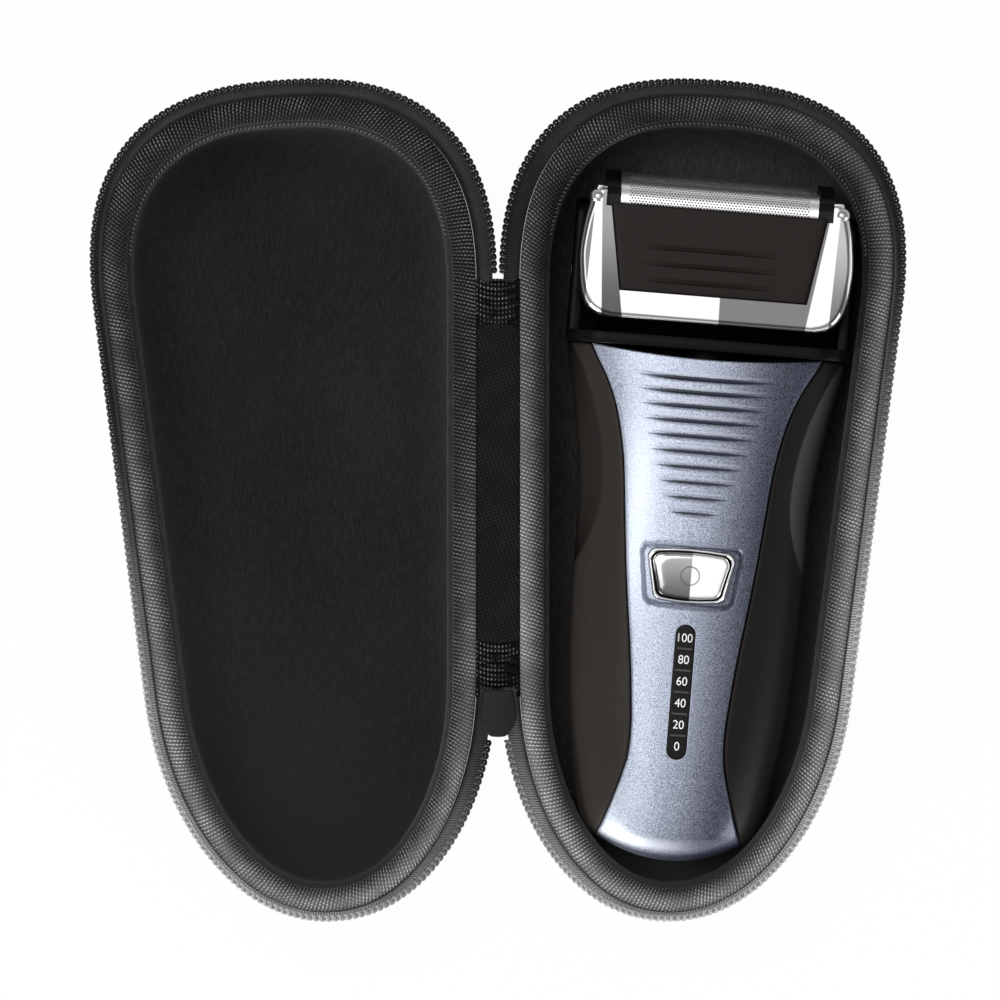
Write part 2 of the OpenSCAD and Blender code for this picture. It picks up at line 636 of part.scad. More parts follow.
flange_q = body_len + fit_gap;
flange_t = 2.8;
arm_low_r = mid_r - 8.5;
arm_high_r = mid_r + 6.7;
arm_end_q = pivot_q + 13;
module rounded(half_w, half_h, r) {
    hull() for (x = [-1, 1]) for (y = [-1, 1])
        translate([x * (half_w - r), y * (half_h - r)]) circle(r = r, $fn = 32);
}
module neck_yoke() {
    color([0.06, 0.06, 0.06]) in_case() difference() {
        union() {
            translate([0, flange_q - 1.2, mid_r]) rotate([-90, 0, 0])
                linear_extrude(1.4) rounded(arm_in - 3.9, mid_r - 6, 8);
            translate([0, flange_q, mid_r]) rotate([-90, 0, 0])
                linear_extrude(flange_t) rounded(arm_out, mid_r - 2.5, 9);
            // The collar that reaches down to the motor's nose
            translate([0, motor_q + motor_len + fit_gap, pivot_mid_r]) rotate([-90, 0, 0])
                cylinder(r = 8, h = flange_q - motor_q - motor_len + 1, $fn = 48);
            for (side = [-1, 1]) shoulder_arm(side);
        }
        translate([0, motor_q, pivot_mid_r]) rotate([-90, 0, 0]) 
            cylinder(r = 4.6, h = flange_q + flange_t - motor_q + 8, $fn = 48);
        trimmer_slot();
        head_bore(0);
    }
}
module shoulder_arm(side) {
    translate([side > 0 ? arm_in : -arm_out, 0, 0]) rotate([90, 0, 90])
        linear_extrude(arm_out - arm_in) hull() {
            translate([flange_q + 0.1, arm_low_r]) square([1, arm_high_r - arm_low_r]);
            translate([arm_end_q, mid_r - 3]) circle(r = 4.5, $fn = 32);
            translate([arm_end_q, mid_r + 2.5]) circle(r = 3.8, $fn = 32);
        }
}
module head_bore(extra) {
    translate([-arm_out - 5, pivot_q, pivot_mid_r]) rotate([0, 90, 0])
        cylinder(r = pivot_r + extra, h = 2 * arm_out + 10, $fn = 48);
}
pin_len = arm_out - arm_in + 5.4;
module pivot_pins() {
    color([0.6, 0.6, 0.62]) in_case() for (side = [-1, 1])
        translate([side > 0 ? arm_out - pin_len : -arm_out, pivot_q, pivot_mid_r])
            rotate([0, 90, 0]) cylinder(r = pivot_r, h = pin_len, $fn = 48);
}

/* The shaving head, which tilts in the yoke */

// How far the bright frame's edge lies inside the arms' outer faces, at heights along q from the pivot
frame_ins = [[-11, 9.9], [-10.2, 7.4], [-9, 5.2], [-7, 3.3], [-4, 2], [-1, 1.4], [4, 1.1],
    [10, 1.6], [16, 2.8], [20, 4.4]];
face_half_top = arm_in - 3.8;
face_half_low = arm_in - 7.6;
face_groove = 31 * wide_k;
face_top_q = pivot_q + 16;
face_low_q = pivot_q - 4.5;
frame_low_r = block_mid_r + 6.2;
frame_edge_r = frame_low_r + 6.6;
frame_high_r = frame_low_r + 9.6;
frame_bevel = 2.4;
face_low_r = frame_high_r - 2.3;
face_high_r = frame_high_r - 0.5;
module face_outline(grow) {
    polygon([[-face_half_top - grow, face_top_q + grow], [face_half_top + grow, face_top_q + grow],
        [face_half_low + grow, face_low_q - grow], [-face_half_low - grow, face_low_q - grow]]);
}
// The frame's outline drawn in by the bevel, at height r
function frame_ring(inset, r) = let (
        mid = 4.5,
        right = [for (f = frame_ins)
            [arm_out - f[1] - inset, pivot_q + mid + (f[0] - mid) * (1 - inset / 18), r]])
    concat(right, [for (i = [len(right) - 1:-1:0]) [-right[i][0], right[i][1], r]]);
module head_frame() {
    color([0.85, 0.85, 0.87]) in_case() {
        difference() {
            skin([frame_ring(0, frame_low_r), frame_ring(0, frame_edge_r),
                frame_ring(frame_bevel * 0.35, frame_edge_r + 1.6), frame_ring(frame_bevel, frame_high_r)]);
            translate([0, 0, frame_low_r - 1]) linear_extrude(20) face_outline(0);
            // The frame is open above the face, where the foils stand
            translate([-face_half_top, face_top_q - 1, frame_low_r - 1])
                cube([2 * face_half_top, 20, 20]);
            block_axes() translate([-cassette_half - fit_gap, cassette_low - fit_gap, -20])
                cube([2 * cassette_half + 2 * fit_gap, 40, cassette_deep / 2 + fit_gap + 20]);
        }
        for (side = [-1, 1]) translate([side * (arm_in - 1.8), face_top_q + 1, frame_high_r - 1.4])
            sphere(r = 1.9, $fn = 36);
    }
}
module head_face() {
    color([0.1, 0.09, 0.09]) in_case() difference() {
        translate([0, 0, face_low_r]) linear_extrude(face_high_r - face_low_r) face_outline(-fit_gap);
        for (k = [0:2]) translate([-face_groove / 2 + k * 0.5, pivot_q + 6.2 - k * 3.85, face_high_r])
            rotate([0, 90, 0]) cylinder(r = 0.5, h = face_groove - k, $fn = 24);
    }
}

// The foil block leans towards the front about this point.
module in_block() {
    in_case() block_axes() children();
}
module block_axes() {
    translate([0, block_q, block_mid_r]) rotate([head_tilt, 0, 0]) children();
}
float_travel = 1.5;
foil_pitch = 12.6;
foil_leg = 4.6;
foil_t = 0.35;
foil_base = 0.3;
cassette_low = -1.6;
cassette_high = 1.6;
cassette_half = arm_in - 3.4;
foil_window = foil_pitch / 2 + foil_r + move_gap;
cassette_deep = 2 * foil_window + 2.2;
well_half = 8.6;
well_deep = 8.6;

core_low_r = mid_r - 8.5;
core_half = arm_in - 0.8;
core_half_w = arm_in - 4.4;
module head_core() {
    color([0.08, 0.08, 0.08]) in_case() difference() {
        union() {
            translate([-core_half_w, pivot_q - 10.5, core_low_r])
                cube([2 * core_half_w, 27, frame_low_r - fit_gap - core_low_r]);
            // Behind the face, inside the frame
            translate([0, 0, frame_low_r - 0.5])
                linear_extrude(face_low_r - fit_gap - frame_low_r + 0.5) face_outline(-fit_gap);
            for (side = [-1, 1]) translate([side > 0 ? core_half_w - 1 : -core_half, pivot_q, pivot_mid_r])
                rotate([0, 90, 0]) cylinder(r = 5.5, h = core_half - core_half_w + 1, $fn = 48);
        }
        // Seat of the foil cassette
        block_axes() translate([-40, cassette_low - fit_gap, -40]) cube([80, 40, 80]);
        head_bore(0.05);
        block_axes() translate([-well_half, -30, -well_deep]) cube([2 * well_half, 40, 2 * well_deep]);
    }
}

// In the block, y points out of the head and z to the front. Profiles are drawn as [z, y].
module along_head(len) {
    translate([-len / 2, 0, 0]) rotate([90, 0, 90]) linear_extrude(len)
        mirror([1, 0]) rotate(90) children();
}
module foil_profile(r) {
    translate([0, foil_base + foil_leg]) circle(r = r, $fn = 64);
    translate([-r, foil_base]) square([2 * r, foil_leg]);
}
module foil(side) {
    in_block() translate([0, 0, side * foil_pitch / 2]) along_head(foil_len) difference() {
        foil_profile(foil_r);
        foil_profile(foil_r - foil_t);
        translate([-foil_r + foil_t, foil_base - 1]) square([2 * (foil_r - foil_t), 2]);
    }
}
module foil_front() { color([0.78, 0.78, 0.8]) foil(1); }
module foil_rear() { color([0.78, 0.78, 0.8]) foil(-1); }

stroke = 1.2;
cutter_len = foil_len - 2 * stroke - 2;
blade_n = 22;
module cutter(side) {
    step = cutter_len / blade_n;
    in_block() translate([0, 0, side * foil_pitch / 2]) {
        for (k = [0:blade_n - 1]) translate([-cutter_len / 2 + (k + 0.5) * step, 0, 0])
            along_head(step * 0.45) difference() {
                foil_profile(foil_r - foil_t - row_gap);
                translate([-foil_r, foil_base - 1]) square([2 * foil_r, 3.2]);
            }
        translate([-cutter_len / 2, foil_base + 2, -1.8]) cube([cutter_len, 2.6, 3.6]);
    }
}
module cutter_front() { color([0.6, 0.6, 0.62]) cutter(1); }
module cutter_rear() { color([0.6, 0.6, 0.62]) cutter(-1); }

module centre_trimmer() {
    teeth = 28;
    len = foil_len - 1;
    step = len / teeth;
    half_t = foil_pitch / 2 - foil_r - move_gap;
    color([0.7, 0.7, 0.72]) in_block() {
        translate([-len / 2, foil_base, -half_t]) cube([len, 6.4, 2 * half_t]);
        for (k = [0:teeth - 1]) translate([-len / 2 + (k + 0.25) * step, foil_base + 6.3, -half_t])
            cube([step / 2, 1.5, 2 * half_t]);
    }
}

module foil_cassette() {
    end_w = cassette_half - foil_len / 2 - move_gap;
    color([0.07, 0.07, 0.07]) in_block() {
        difference() {
            translate([-cassette_half, cassette_low, -cassette_deep / 2])
                cube([2 * cassette_half, cassette_high - cassette_low, cassette_deep]);
            translate([-foil_len / 2 - move_gap, cassette_low - 1, -foil_window])
                cube([foil_len + 2 * move_gap, 10, 2 * foil_window]);
        }
        // End caps that follow the two foils
        for (side = [-1, 1]) translate([side * (cassette_half - end_w / 2), 0, 0])
            along_head(end_w) hull() {
                translate([-cassette_deep / 2, cassette_high - 0.5]) square([cassette_deep, 0.5]);
                for (row = [-1, 1]) translate([row * foil_pitch / 2, foil_base + foil_leg])
                    circle(r = foil_r + 0.4, $fn = 32);
            }
    }
}

yoke_in = stroke * 2 + 1 + 0.4;
module drive_bridge() {
    color([0.85, 0.85, 0.83]) in_block() {
        for (side = [-1, 1]) translate([side > 0 ? yoke_in : -yoke_in - 1.5, -18.5, -4])
            cube([1.5, 6.2, 8]);
        translate([-yoke_in - 1.5, -12.5, -7.6]) cube([2 * yoke_in + 3, 2, 15.2]);
        for (side = [-1, 1]) translate([-1.6, -10.6, side * foil_pitch / 2 - 1])
            cube([3.2, 10.6 + foil_base + 2 - float_travel - 0.2, 2]);
    }
}

/* Long hair trimmer on the back, which slides up with its thumb slide */

trimmer_q = body_len - 17;
trimmer_w = 30;
module trimmer_slot() {
    translate([-trimmer_w / 2 - 0.5, trimmer_q - 18.5, -5]) cube([trimmer_w + 1, 40, 8.4]);
    translate([-5.4, trimmer_q - 40, -5]) cube([10.8, 34, 8.4]);
}
module hair_trimmer() {
    teeth = 16;
    step = (trimmer_w - 2) / teeth;
    color([0.5, 0.5, 0.52]) in_case() {
        translate([-trimmer_w / 2, trimmer_q - 3, 1.9]) cube([trimmer_w, 16, 1.4]);
        for (k = [0:teeth - 1]) translate([-trimmer_w / 2 + 1 + (k + 0.25) * step, trimmer_q + 12.9, 1.9])
            cube([step / 2, 2.2, 1.4]);
    }
}
module trimmer_slide() {
    color([0.12, 0.12, 0.12]) in_case() {
        translate([-trimmer_w / 2, trimmer_q - 18, 1.2]) cube([trimmer_w, 14.9, 2.1]);
        translate([-4.6, trimmer_q - 27, 1.2]) cube([9.2, 9.1, 2.1]);
        for (k = [0:4]) translate([-3.8, trimmer_q - 26 + k * 1.5, 0.7]) cube([7.6, 0.8, 0.6]);
    }
}

base_shell();
base_lining();
base_binding();
base_zip_tape();
base_zip_teeth();
lid_shell();
lid_lining();
lid_binding();
lid_zip_tape();
lid_zip_teeth();
hinge_web();
zip_end_fold_top();
zip_end_fold_bottom();
zip_slider();
zip_pull();
rear_housing();
left_grip();
right_grip();
front_panel();
end_cap();
charge_socket();
button_bezel();
power_button();
switch();
gauge_window();
circuit_board();
battery_cells();
chassis();
board_screws();
motor();
motor_cam();
neck_yoke();
pivot_pins();
head_core();
head_frame();
head_face();
foil_cassette();
foil_front();
foil_rear();
cutter_front();
cutter_rear();
centre_trimmer();
drive_bridge();
hair_trimmer();
trimmer_slide();
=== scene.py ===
import math

import bmesh
import bpy
import numpy as np
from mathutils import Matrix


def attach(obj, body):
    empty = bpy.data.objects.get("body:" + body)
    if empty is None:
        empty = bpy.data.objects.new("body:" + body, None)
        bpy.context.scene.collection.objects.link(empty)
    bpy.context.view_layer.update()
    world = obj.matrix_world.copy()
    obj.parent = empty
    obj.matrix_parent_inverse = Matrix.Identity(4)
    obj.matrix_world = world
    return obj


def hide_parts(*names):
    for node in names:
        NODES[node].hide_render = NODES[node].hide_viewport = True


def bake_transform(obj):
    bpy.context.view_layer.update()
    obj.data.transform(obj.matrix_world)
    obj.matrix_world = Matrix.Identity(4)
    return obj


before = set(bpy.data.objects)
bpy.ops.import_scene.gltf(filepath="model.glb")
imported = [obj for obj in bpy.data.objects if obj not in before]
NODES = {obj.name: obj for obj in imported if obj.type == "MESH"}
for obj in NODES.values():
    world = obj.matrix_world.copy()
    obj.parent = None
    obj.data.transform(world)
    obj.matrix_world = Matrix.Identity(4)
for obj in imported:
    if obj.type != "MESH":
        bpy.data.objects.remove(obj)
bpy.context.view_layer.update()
rng = np.random.default_rng(7)

# Sizes in millimetres, the same as in the part's source. Meshes are turned to metres as they are made.
HALF_W, HALF_LEN, TAPER = 44.4, 99.0, 0.065
PARTING_Z, RIM_Z = 34.0, 31.0
SHELL_T, INNER_T, FOOT_R = 2.6, 3.7, 12.0
RIM_HALF, RIM_SHIFT, ROW_GAP = 39.575, 1.075, 0.15
BODY_LEN, MID_R, PIVOT_Q = 120.0, 17.5, 137.0
BUTTON_Q, GAUGE_Q = 67.2, 40.0
SLANT = math.radians(4.6)
TILT = math.radians(12)
TURN = math.atan(TAPER)
DRAFT = math.tan(math.radians(4))


# ---------------------------------------------------------------- mesh code

class Part:
    """Vertices in millimetres, faces, and a UV in metres for each face corner."""

    def __init__(self, verts, faces, uv):
        self.verts, self.faces, self.uv = np.asarray(verts, float).reshape(-1, 3), faces, uv


def runs(P, closed):
    """Mean distance along the second axis of a grid, counted from its first column."""
    step = np.linalg.norm(np.diff(P, axis=1), axis=2)
    if closed:
        step = np.hstack([step, np.linalg.norm(P[:, :1] - P[:, -1:], axis=2)])
    return np.concatenate([[0], np.cumsum(step.mean(0))])


def grid(P, close_i=False, close_j=False, u=None, v=None):
    """A surface through a grid of points, closed round either way. u runs along j and v along i."""
    P = np.asarray(P, float)
    m, n = P.shape[:2]
    u = runs(P, close_j) if u is None else u
    v = runs(P.transpose(1, 0, 2), close_i) if v is None else v
    U, V = np.meshgrid(u, v)
    i, j = np.meshgrid(np.arange(m - (not close_i)), np.arange(n - (not close_j)), indexing="ij")
    corners = [(i, j), (i + 1, j), (i + 1, j + 1), (i, j + 1)]
    faces = np.stack([(a % m) * n + b % n for a, b in corners], -1).reshape(-1, 4)
    uv = np.stack([np.stack([U[a, b], V[a, b]], -1) for a, b in corners], -2).reshape(-1, 2) / 1000
    return Part(P.reshape(-1, 3), faces.tolist(), uv)


def cap(part, ring):
    """Closes a ring of vertex numbers with one flat face."""
    part.faces.append(list(ring))
    part.uv = np.vstack([part.uv, part.verts[list(ring)][:, :2] / 1000])
    return part


def loft(P, **kw):
    """Closed rings joined into a solid, with a flat face over its first and last ring."""
    P = np.asarray(P, float)
    m, n = P.shape[:2]
    part = grid(P, close_j=True, **kw)
    cap(part, range(n))
    return cap(part, range((m - 1) * n, m * n))


def slab(outer, inner, roll=0.0, v=None):
    """A wall between two grids of points, its edges rolled over by that share of its thickness."""
    outer, inner = np.asarray(outer, float), np.asarray(inner, float)
    m, n = outer.shape[:2]
    if roll:
        def edge(k):
            d = np.minimum(np.arange(k), np.arange(k)[::-1])
            x = np.clip(1 - d / 3.0, 0, 1)
            return 1 - np.sqrt(np.clip(1 - x * x, 0, 1))
        f = np.clip(edge(m)[:, None] + edge(n)[None, :], 0, 1)[..., None] * roll
        outer = outer + (inner - outer) * f
    ring = np.concatenate([outer, inner[:, ::-1]], axis=1)
    part = grid(ring, close_j=True, v=v)
    for k in (0, m - 1):
        for j in range(n - 1):
            part.faces.append([k * 2 * n + j, k * 2 * n + j + 1, k * 2 * n + 2 * n - 2 - j, k * 2 * n + 2 * n - 1 - j])
    part.uv = np.vstack([part.uv, np.zeros((8 * (n - 1), 2))])
    return part


def joined(parts):
    verts, faces, uv, base = [], [], [], 0
    for p in parts:
        verts.append(p.verts)
        faces += [[k + base for k in f] for f in p.faces]
        uv.append(p.uv)
        base += len(p.verts)
    return Part(np.vstack(verts), faces, np.vstack(uv))


def mirrored(part):
    return Part(part.verts * [-1, 1, 1], part.faces, part.uv)


def mesh_of(name, part, sharp=40):
    mesh = bpy.data.meshes.new(name)
    mesh.from_pydata((part.verts / 1000).tolist(), [], part.faces)
    mesh.uv_layers.new(name="UVMap").data.foreach_set("uv", np.asarray(part.uv, np.float32).ravel())
    bm = bmesh.new()
    bm.from_mesh(mesh)
    bmesh.ops.recalc_face_normals(bm, faces=bm.faces)
    bm.to_mesh(mesh)
    bm.free()
    mesh.shade_smooth()
    mesh.set_sharp_from_angle(angle=math.radians(sharp))
    return mesh


def piece(name, part, material, body, stands_for=(), sharp=40, cutters=()):
    """Makes a shown piece, cuts it with closed parts, and hangs it on its body."""
    if not isinstance(part, Part):
        part = joined(part)
    mesh = mesh_of(name, part, sharp)
    if cutters:
        mesh = cut(mesh, cutters, sharp)
        mesh.name = name
    obj = bpy.data.objects.new(name, mesh)
    bpy.context.scene.collection.objects.link(obj)
    obj.data.materials.clear()
    obj.data.materials.append(material)
    if stands_for:
        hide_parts(*stands_for)
    if body:
        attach(obj, body)
    return obj


def cut(mesh, cutters, sharp):
    """Takes closed parts out of a closed mesh, one after the other."""
    scene = bpy.context.scene.collection
    obj = bpy.data.objects.new("cut_body", mesh)
    scene.objects.link(obj)
    tools = []
    for k, part in enumerate(cutters):
        tool = bpy.data.objects.new(f"cut_tool_{k}", mesh_of("cut_tool", part))
        scene.objects.link(tool)
        tools.append(tool)
        mod = obj.modifiers.new("cut", "BOOLEAN")
        mod.operation, mod.object, mod.solver = "DIFFERENCE", tool, "EXACT"
    done = bpy.data.meshes.new_from_object(obj.evaluated_get(bpy.context.evaluated_depsgraph_get()))
    for o in [obj] + tools:
        bpy.data.objects.remove(o)
    done.shade_smooth()
    done.set_sharp_from_angle(angle=math.radians(sharp))
    return done


def ball(centre, r, n=32):
    a = np.linspace(0, math.pi, n // 2 + 1)[1:-1]
    b = np.linspace(0, 2 * math.pi, n, endpoint=False)
    P = np.stack([np.outer(np.sin(a), np.cos(b)), np.outer(np.sin(a), np.sin(b)),
                  np.outer(np.cos(a), np.ones(n))], -1) * r + np.asarray(centre, float)
    return loft(P)


# ---------------------------------------------------------------- the outline of a half

def power_of(x, power):
    return np.maximum(0, x) ** (2 / power)


def outline(a, w0, top, bottom):
    """Points of the outline at stations a from 0 to 48, as in the part's source."""
    s = np.asarray(a, float) % 48
    t = np.where(s <= 24, math.pi * (s - 6) / 18, math.pi * (s - 30) / 18)
    up = (s >= 6) & (s <= 24)
    low = s >= 30
    v = np.where(s < 6, -44 + 90 * s / 6, 46 - 90 * (s - 24) / 6)
    v = np.where(up, 46 + (top - 46) * power_of(np.sin(t), 2.5), v)
    v = np.where(low, -44 - (bottom - 44) * power_of(np.sin(t), 2.1), v)
    cos = np.where(up, np.sign(np.cos(t)) * power_of(np.abs(np.cos(t)), 2.5),
                   -np.sign(np.cos(t)) * power_of(np.abs(np.cos(t)), 2.1))
    k = np.where(up | low, cos, np.where(s < 6, 1, -1))
    return k * (w0 + TAPER * v), v


def placed(u, v):
    x = HALF_W * math.cos(TURN) + ROW_GAP + u * math.cos(TURN) + v * math.sin(TURN)
    return np.stack([x, v * math.cos(TURN) - u * math.sin(TURN)], -1)


def zip_xy(a, e):
    return placed(*outline(a, HALF_W - e, HALF_LEN - e, HALF_LEN - e))


ys = zip_xy(np.arange(0, 48.01, 0.25), 0)[:, 1]
MID_Y = (ys.max() + ys.min()) / 2


def rim_xy(a, e):
    u, v = outline(a, RIM_HALF - e, HALF_LEN - 5 - e, HALF_LEN - 3 - e)
    return placed(u + RIM_SHIFT, v)


def at(f, a, e, z):
    """Points of a line round the half at inset e and height z, which may each be one value per station."""
    xy = f(a, e)
    return np.concatenate([xy - [0, MID_Y], np.broadcast_to(np.asarray(z, float), xy.shape[:1])[:, None]], 1)


def even_stations(n, f, lo=0.0, hi=48.0):
    """Stations that lie evenly along a line round the half, and its length."""
    a = np.linspace(lo, hi, 6001)
    run = np.concatenate([[0], np.cumsum(np.linalg.norm(np.diff(f(a, 0), axis=0), axis=1))])
    whole = hi - lo >= 48
    return np.interp(np.linspace(0, run[-1], n + whole)[:n], run, a), run[-1]


def wall_e(z):
    return (RIM_Z - z) * DRAFT


def bowl(inset, steps, a, rim=True, ripple=None):
    """Rings of a bowl from its middle to its rim, inset inside the outer wall."""
    r = FOOT_R - inset
    rows = []
    e0, z0 = wall_e(FOOT_R) + inset + r, inset
    base = at(rim_xy, a, e0, z0)
    mid = base.mean(0)
    for k in (0.02, 0.12, 0.25, 0.4, 0.55, 0.7, 0.83, 0.93):
        rows.append(mid + (base - mid) * k)
    for k in range(steps, -1, -1):
        t = math.pi / 2 * k / steps
        rows.append(at(rim_xy, a, wall_e(FOOT_R) + inset + r * (1 - math.cos(t)), inset + r * (1 - math.sin(t))))
    for z in np.linspace(FOOT_R + 1.5, RIM_Z, 9):
        rows.append(at(rim_xy, a, inset + wall_e(z), z))
    return np.array(rows)


# ---------------------------------------------------------------- materials

def lin(*rgb):
    """A colour written 0 to 255 as the eye sees it."""
    return tuple((c / 255 / 12.92) if c / 255 <= 0.04045 else ((c / 255 + 0.055) / 1.055) ** 2.4 for c in rgb) + (1,)


class Graph:
    """A material's node tree, with short ways to add nodes. Numbers and sockets mix freely."""

    def __init__(self, name):
        self.mat = bpy.data.materials.new(name)
        self.mat.use_nodes = True
        self.nodes, self.links = self.mat.node_tree.nodes, self.mat.node_tree.links
        self.bsdf = self.nodes["Principled BSDF"]

    def put(self, socket, value):
        if isinstance(value, bpy.types.NodeSocket):
            self.links.new(value, socket)
        elif value is not None:
            socket.default_value = value

    def math(self, op, a, b=None, c=None):
        n = self.nodes.new("ShaderNodeMath")
        n.operation = op
        for socket, value in zip(n.inputs, (a, b, c)):
            self.put(socket, value)
        return n.outputs[0]

    def uv(self, scale=1000.0):
        """UV in millimetres, as two sockets."""
        n = self.nodes.new("ShaderNodeUVMap")
        n.uv_map = "UVMap"
        s = self.nodes.new("ShaderNodeSeparateXYZ")
        self.links.new(n.outputs[0], s.inputs[0])
        return [self.math("MULTIPLY", s.outputs[k], scale) for k in (0, 1)]

    def place(self, kind="Object"):
        return self.nodes.new("ShaderNodeTexCoord").outputs[kind]

    def axes(self, vector):
        s = self.nodes.new("ShaderNodeSeparateXYZ")
        self.links.new(vector, s.inputs[0])
        return s.outputs

    def vector(self, x, y, z=0.0):
        n = self.nodes.new("ShaderNodeCombineXYZ")
        for socket, value in zip(n.inputs, (x, y, z)):
            self.put(socket, value)
        return n.outputs[0]

    def noise(self, scale, detail=2.0, rough=0.5, vector=None):
        n = self.nodes.new("ShaderNodeTexNoise")
        self.put(n.inputs["Vector"], vector if vector is not None else self.place())
        self.put(n.inputs["Scale"], scale)
        self.put(n.inputs["Detail"], detail)
        self.put(n.inputs["Roughness"], rough)
        return n.outputs[0]

    def ramp(self, value, lo, hi, a=0.0, b=1.0):
        n = self.nodes.new("ShaderNodeMapRange")
        n.interpolation_type = "SMOOTHSTEP"
        for k, x in enumerate((value, lo, hi, a, b)):
            self.put(n.inputs[k], x)
        return n.outputs[0]

    def mix(self, f, a, b):
        n = self.nodes.new("ShaderNodeMix")
        n.data_type = "RGBA"
        self.put(n.inputs[0], f)
        self.put(n.inputs[6], a)
        self.put(n.inputs[7], b)
        return n.outputs[2]

    def bump(self, height, distance, strength=1.0, normal=None):
        n = self.nodes.new("ShaderNodeBump")
        self.put(n.inputs["Strength"], strength)
        self.put(n.inputs["Distance"], distance)
        self.put(n.inputs["Height"], height)
        if normal is not None:
            self.links.new(normal, n.inputs["Normal"])
        return n.outputs[0]

    def wave(self, x, pitch, phase=0.0):
        """A sine of x with that pitch, from 0 to 1."""
        t = self.math("MULTIPLY_ADD", x, 2 * math.pi / pitch, phase)
        return self.math("MULTIPLY_ADD", self.math("SINE", t), 0.5, 0.5)

    def done(self, colour, rough, metal=0.0, normal=None, specular=0.5, **sockets):
        b = self.bsdf.inputs
        self.put(b["Base Color"], colour)
        self.put(b["Roughness"], rough)
        self.put(b["Metallic"], metal)
        self.put(b["Specular IOR Level"], specular)
        if normal is not None:
            self.links.new(normal, b["Normal"])
        for name, value in sockets.items():
            self.put(b[name.replace("_", " ")], value)
        return self.mat


def plain(name, colour, rough, metal=0.0, specular=0.5, grain=0.0, scale=900.0, **sockets):
    """A moulded or metal finish with a slight unevenness in tone, and a grain if one is given."""
    g = Graph(name)
    n = g.noise(scale, 2.0)
    tone = g.mix(g.ramp(n, 0.3, 0.7, 0.0, 1.0), [c * 0.93 for c in colour[:3]] + [1], [min(1, c * 1.07) for c in colour[:3]] + [1])
    normal = g.bump(n, grain, 0.6) if grain else None
    return g.done(tone, rough, metal, normal, specular, **sockets)


def knit(name, colour, light, pitch=0.42):
    """Fine jersey: thin streaks lengthways with a soft cloudy tone, and painted light that makes it lighter towards the
    narrow end and the sides.
    """
    g = Graph(name)
    x, y, z = g.axes(g.place())
    u = g.math("MULTIPLY", x, 1000)
    v = g.math("MULTIPLY", y, 1000)
    streak = g.noise(1.0, 2.0, 0.6, g.vector(g.math("MULTIPLY", x, 3400), g.math("MULTIPLY", y, 500), g.math("MULTIPLY", z, 900)))
    cloud = g.noise(28.0, 3.0, 0.55)
    loops = g.math("MULTIPLY", g.wave(u, pitch), g.wave(v, pitch * 1.3))
    f = g.math("MULTIPLY_ADD", g.ramp(streak, 0.35, 0.75), 0.55, g.math("MULTIPLY_ADD", g.ramp(cloud, 0.3, 0.8), 0.2, 0.15))
    height = g.math("ADD", streak, g.math("MULTIPLY", loops, 0.6))
    # painted light: lighter towards the narrow end and out to the sides
    far = g.ramp(g.math("MULTIPLY_ADD", g.math("ABSOLUTE", x), 500.0, g.math("MULTIPLY", y, -1000.0)), 10.0, 130.0)
    f = g.math("ADD", f, g.math("MULTIPLY", far, 0.75))
    return g.done(g.mix(f, colour, light), 0.9, 0, g.bump(height, 0.00012, 0.7), 0.12,
                  Sheen_Weight=0.12, Sheen_Roughness=0.5)


def woven_binding(name, slant, lift):
    """Woven tape: ribs that run across it, each broken into bright floats that are staggered from rib to rib.

    Painted light: the cloth is made lighter towards the narrow end and along its outer edge, as painted glare."""
    g = Graph(name)
    u, v = g.uv()
    wander = g.math("MULTIPLY_ADD", g.noise(300.0, 1.0), 0.45, u)
    rib = g.math("DIVIDE", g.math("MULTIPLY_ADD", v, slant, wander), 0.9)
    odd = g.math("MULTIPLY", g.math("MODULO", g.math("FLOOR", rib), 2.0), 0.5)
    du = g.math("ABSOLUTE", g.math("SUBTRACT", g.math("FRACT", rib), 0.5))
    along = g.math("ADD", g.math("DIVIDE", g.math("MULTIPLY_ADD", g.noise(700.0, 1.0), 0.5, v), 0.86), odd)
    dv = g.math("ABSOLUTE", g.math("SUBTRACT", g.math("FRACT", along), 0.5))
    line = g.ramp(du, 0.04, 0.3, 1.0, 0.0)
    dash = g.ramp(dv, 0.08, 0.44, 1.0, 0.0)
    x, y, _ = g.axes(g.place())
    # painted glare: lighter towards the narrow end and the sides
    far = g.math("MULTIPLY_ADD", g.math("ABSOLUTE", x), 600.0, g.math("MULTIPLY", y, -1000.0))
    painted_glare = g.ramp(g.math("ADD", far, lift), -40.0, 140.0)
    # painted highlight on the outer side of the crown
    outer = g.math("MULTIPLY", g.ramp(v, 4.0, 9.5, 1.0, 0.1), g.ramp(v, 2.7, 4.3, 0.05, 1.0))
    wear = g.ramp(g.noise(170.0, 3.0), 0.3, 0.72, 0.35, 1.0)
    bright = g.math("MULTIPLY", g.math("MULTIPLY", line, g.math("MULTIPLY_ADD", dash, 0.85, 0.15)), wear)
    # the floats take the same painted highlight on the outer side of the crown
    bright = g.math("MULTIPLY", bright, g.math("MULTIPLY_ADD", outer, 0.75, 0.25))
    height = g.math("MULTIPLY", line, g.math("MULTIPLY_ADD", dash, 0.5, 0.5))
    ground = g.mix(g.math("MULTIPLY", painted_glare, outer), lin(11, 11, 12), lin(118, 118, 119))
    thread = g.mix(painted_glare, lin(146, 146, 147), lin(255, 255, 255))
    return g.done(g.mix(bright, ground, thread), 0.75, 0, g.bump(height, 0.00018, 0.9), 0.15,
                  Sheen_Weight=0.15, Sheen_Roughness=0.4)


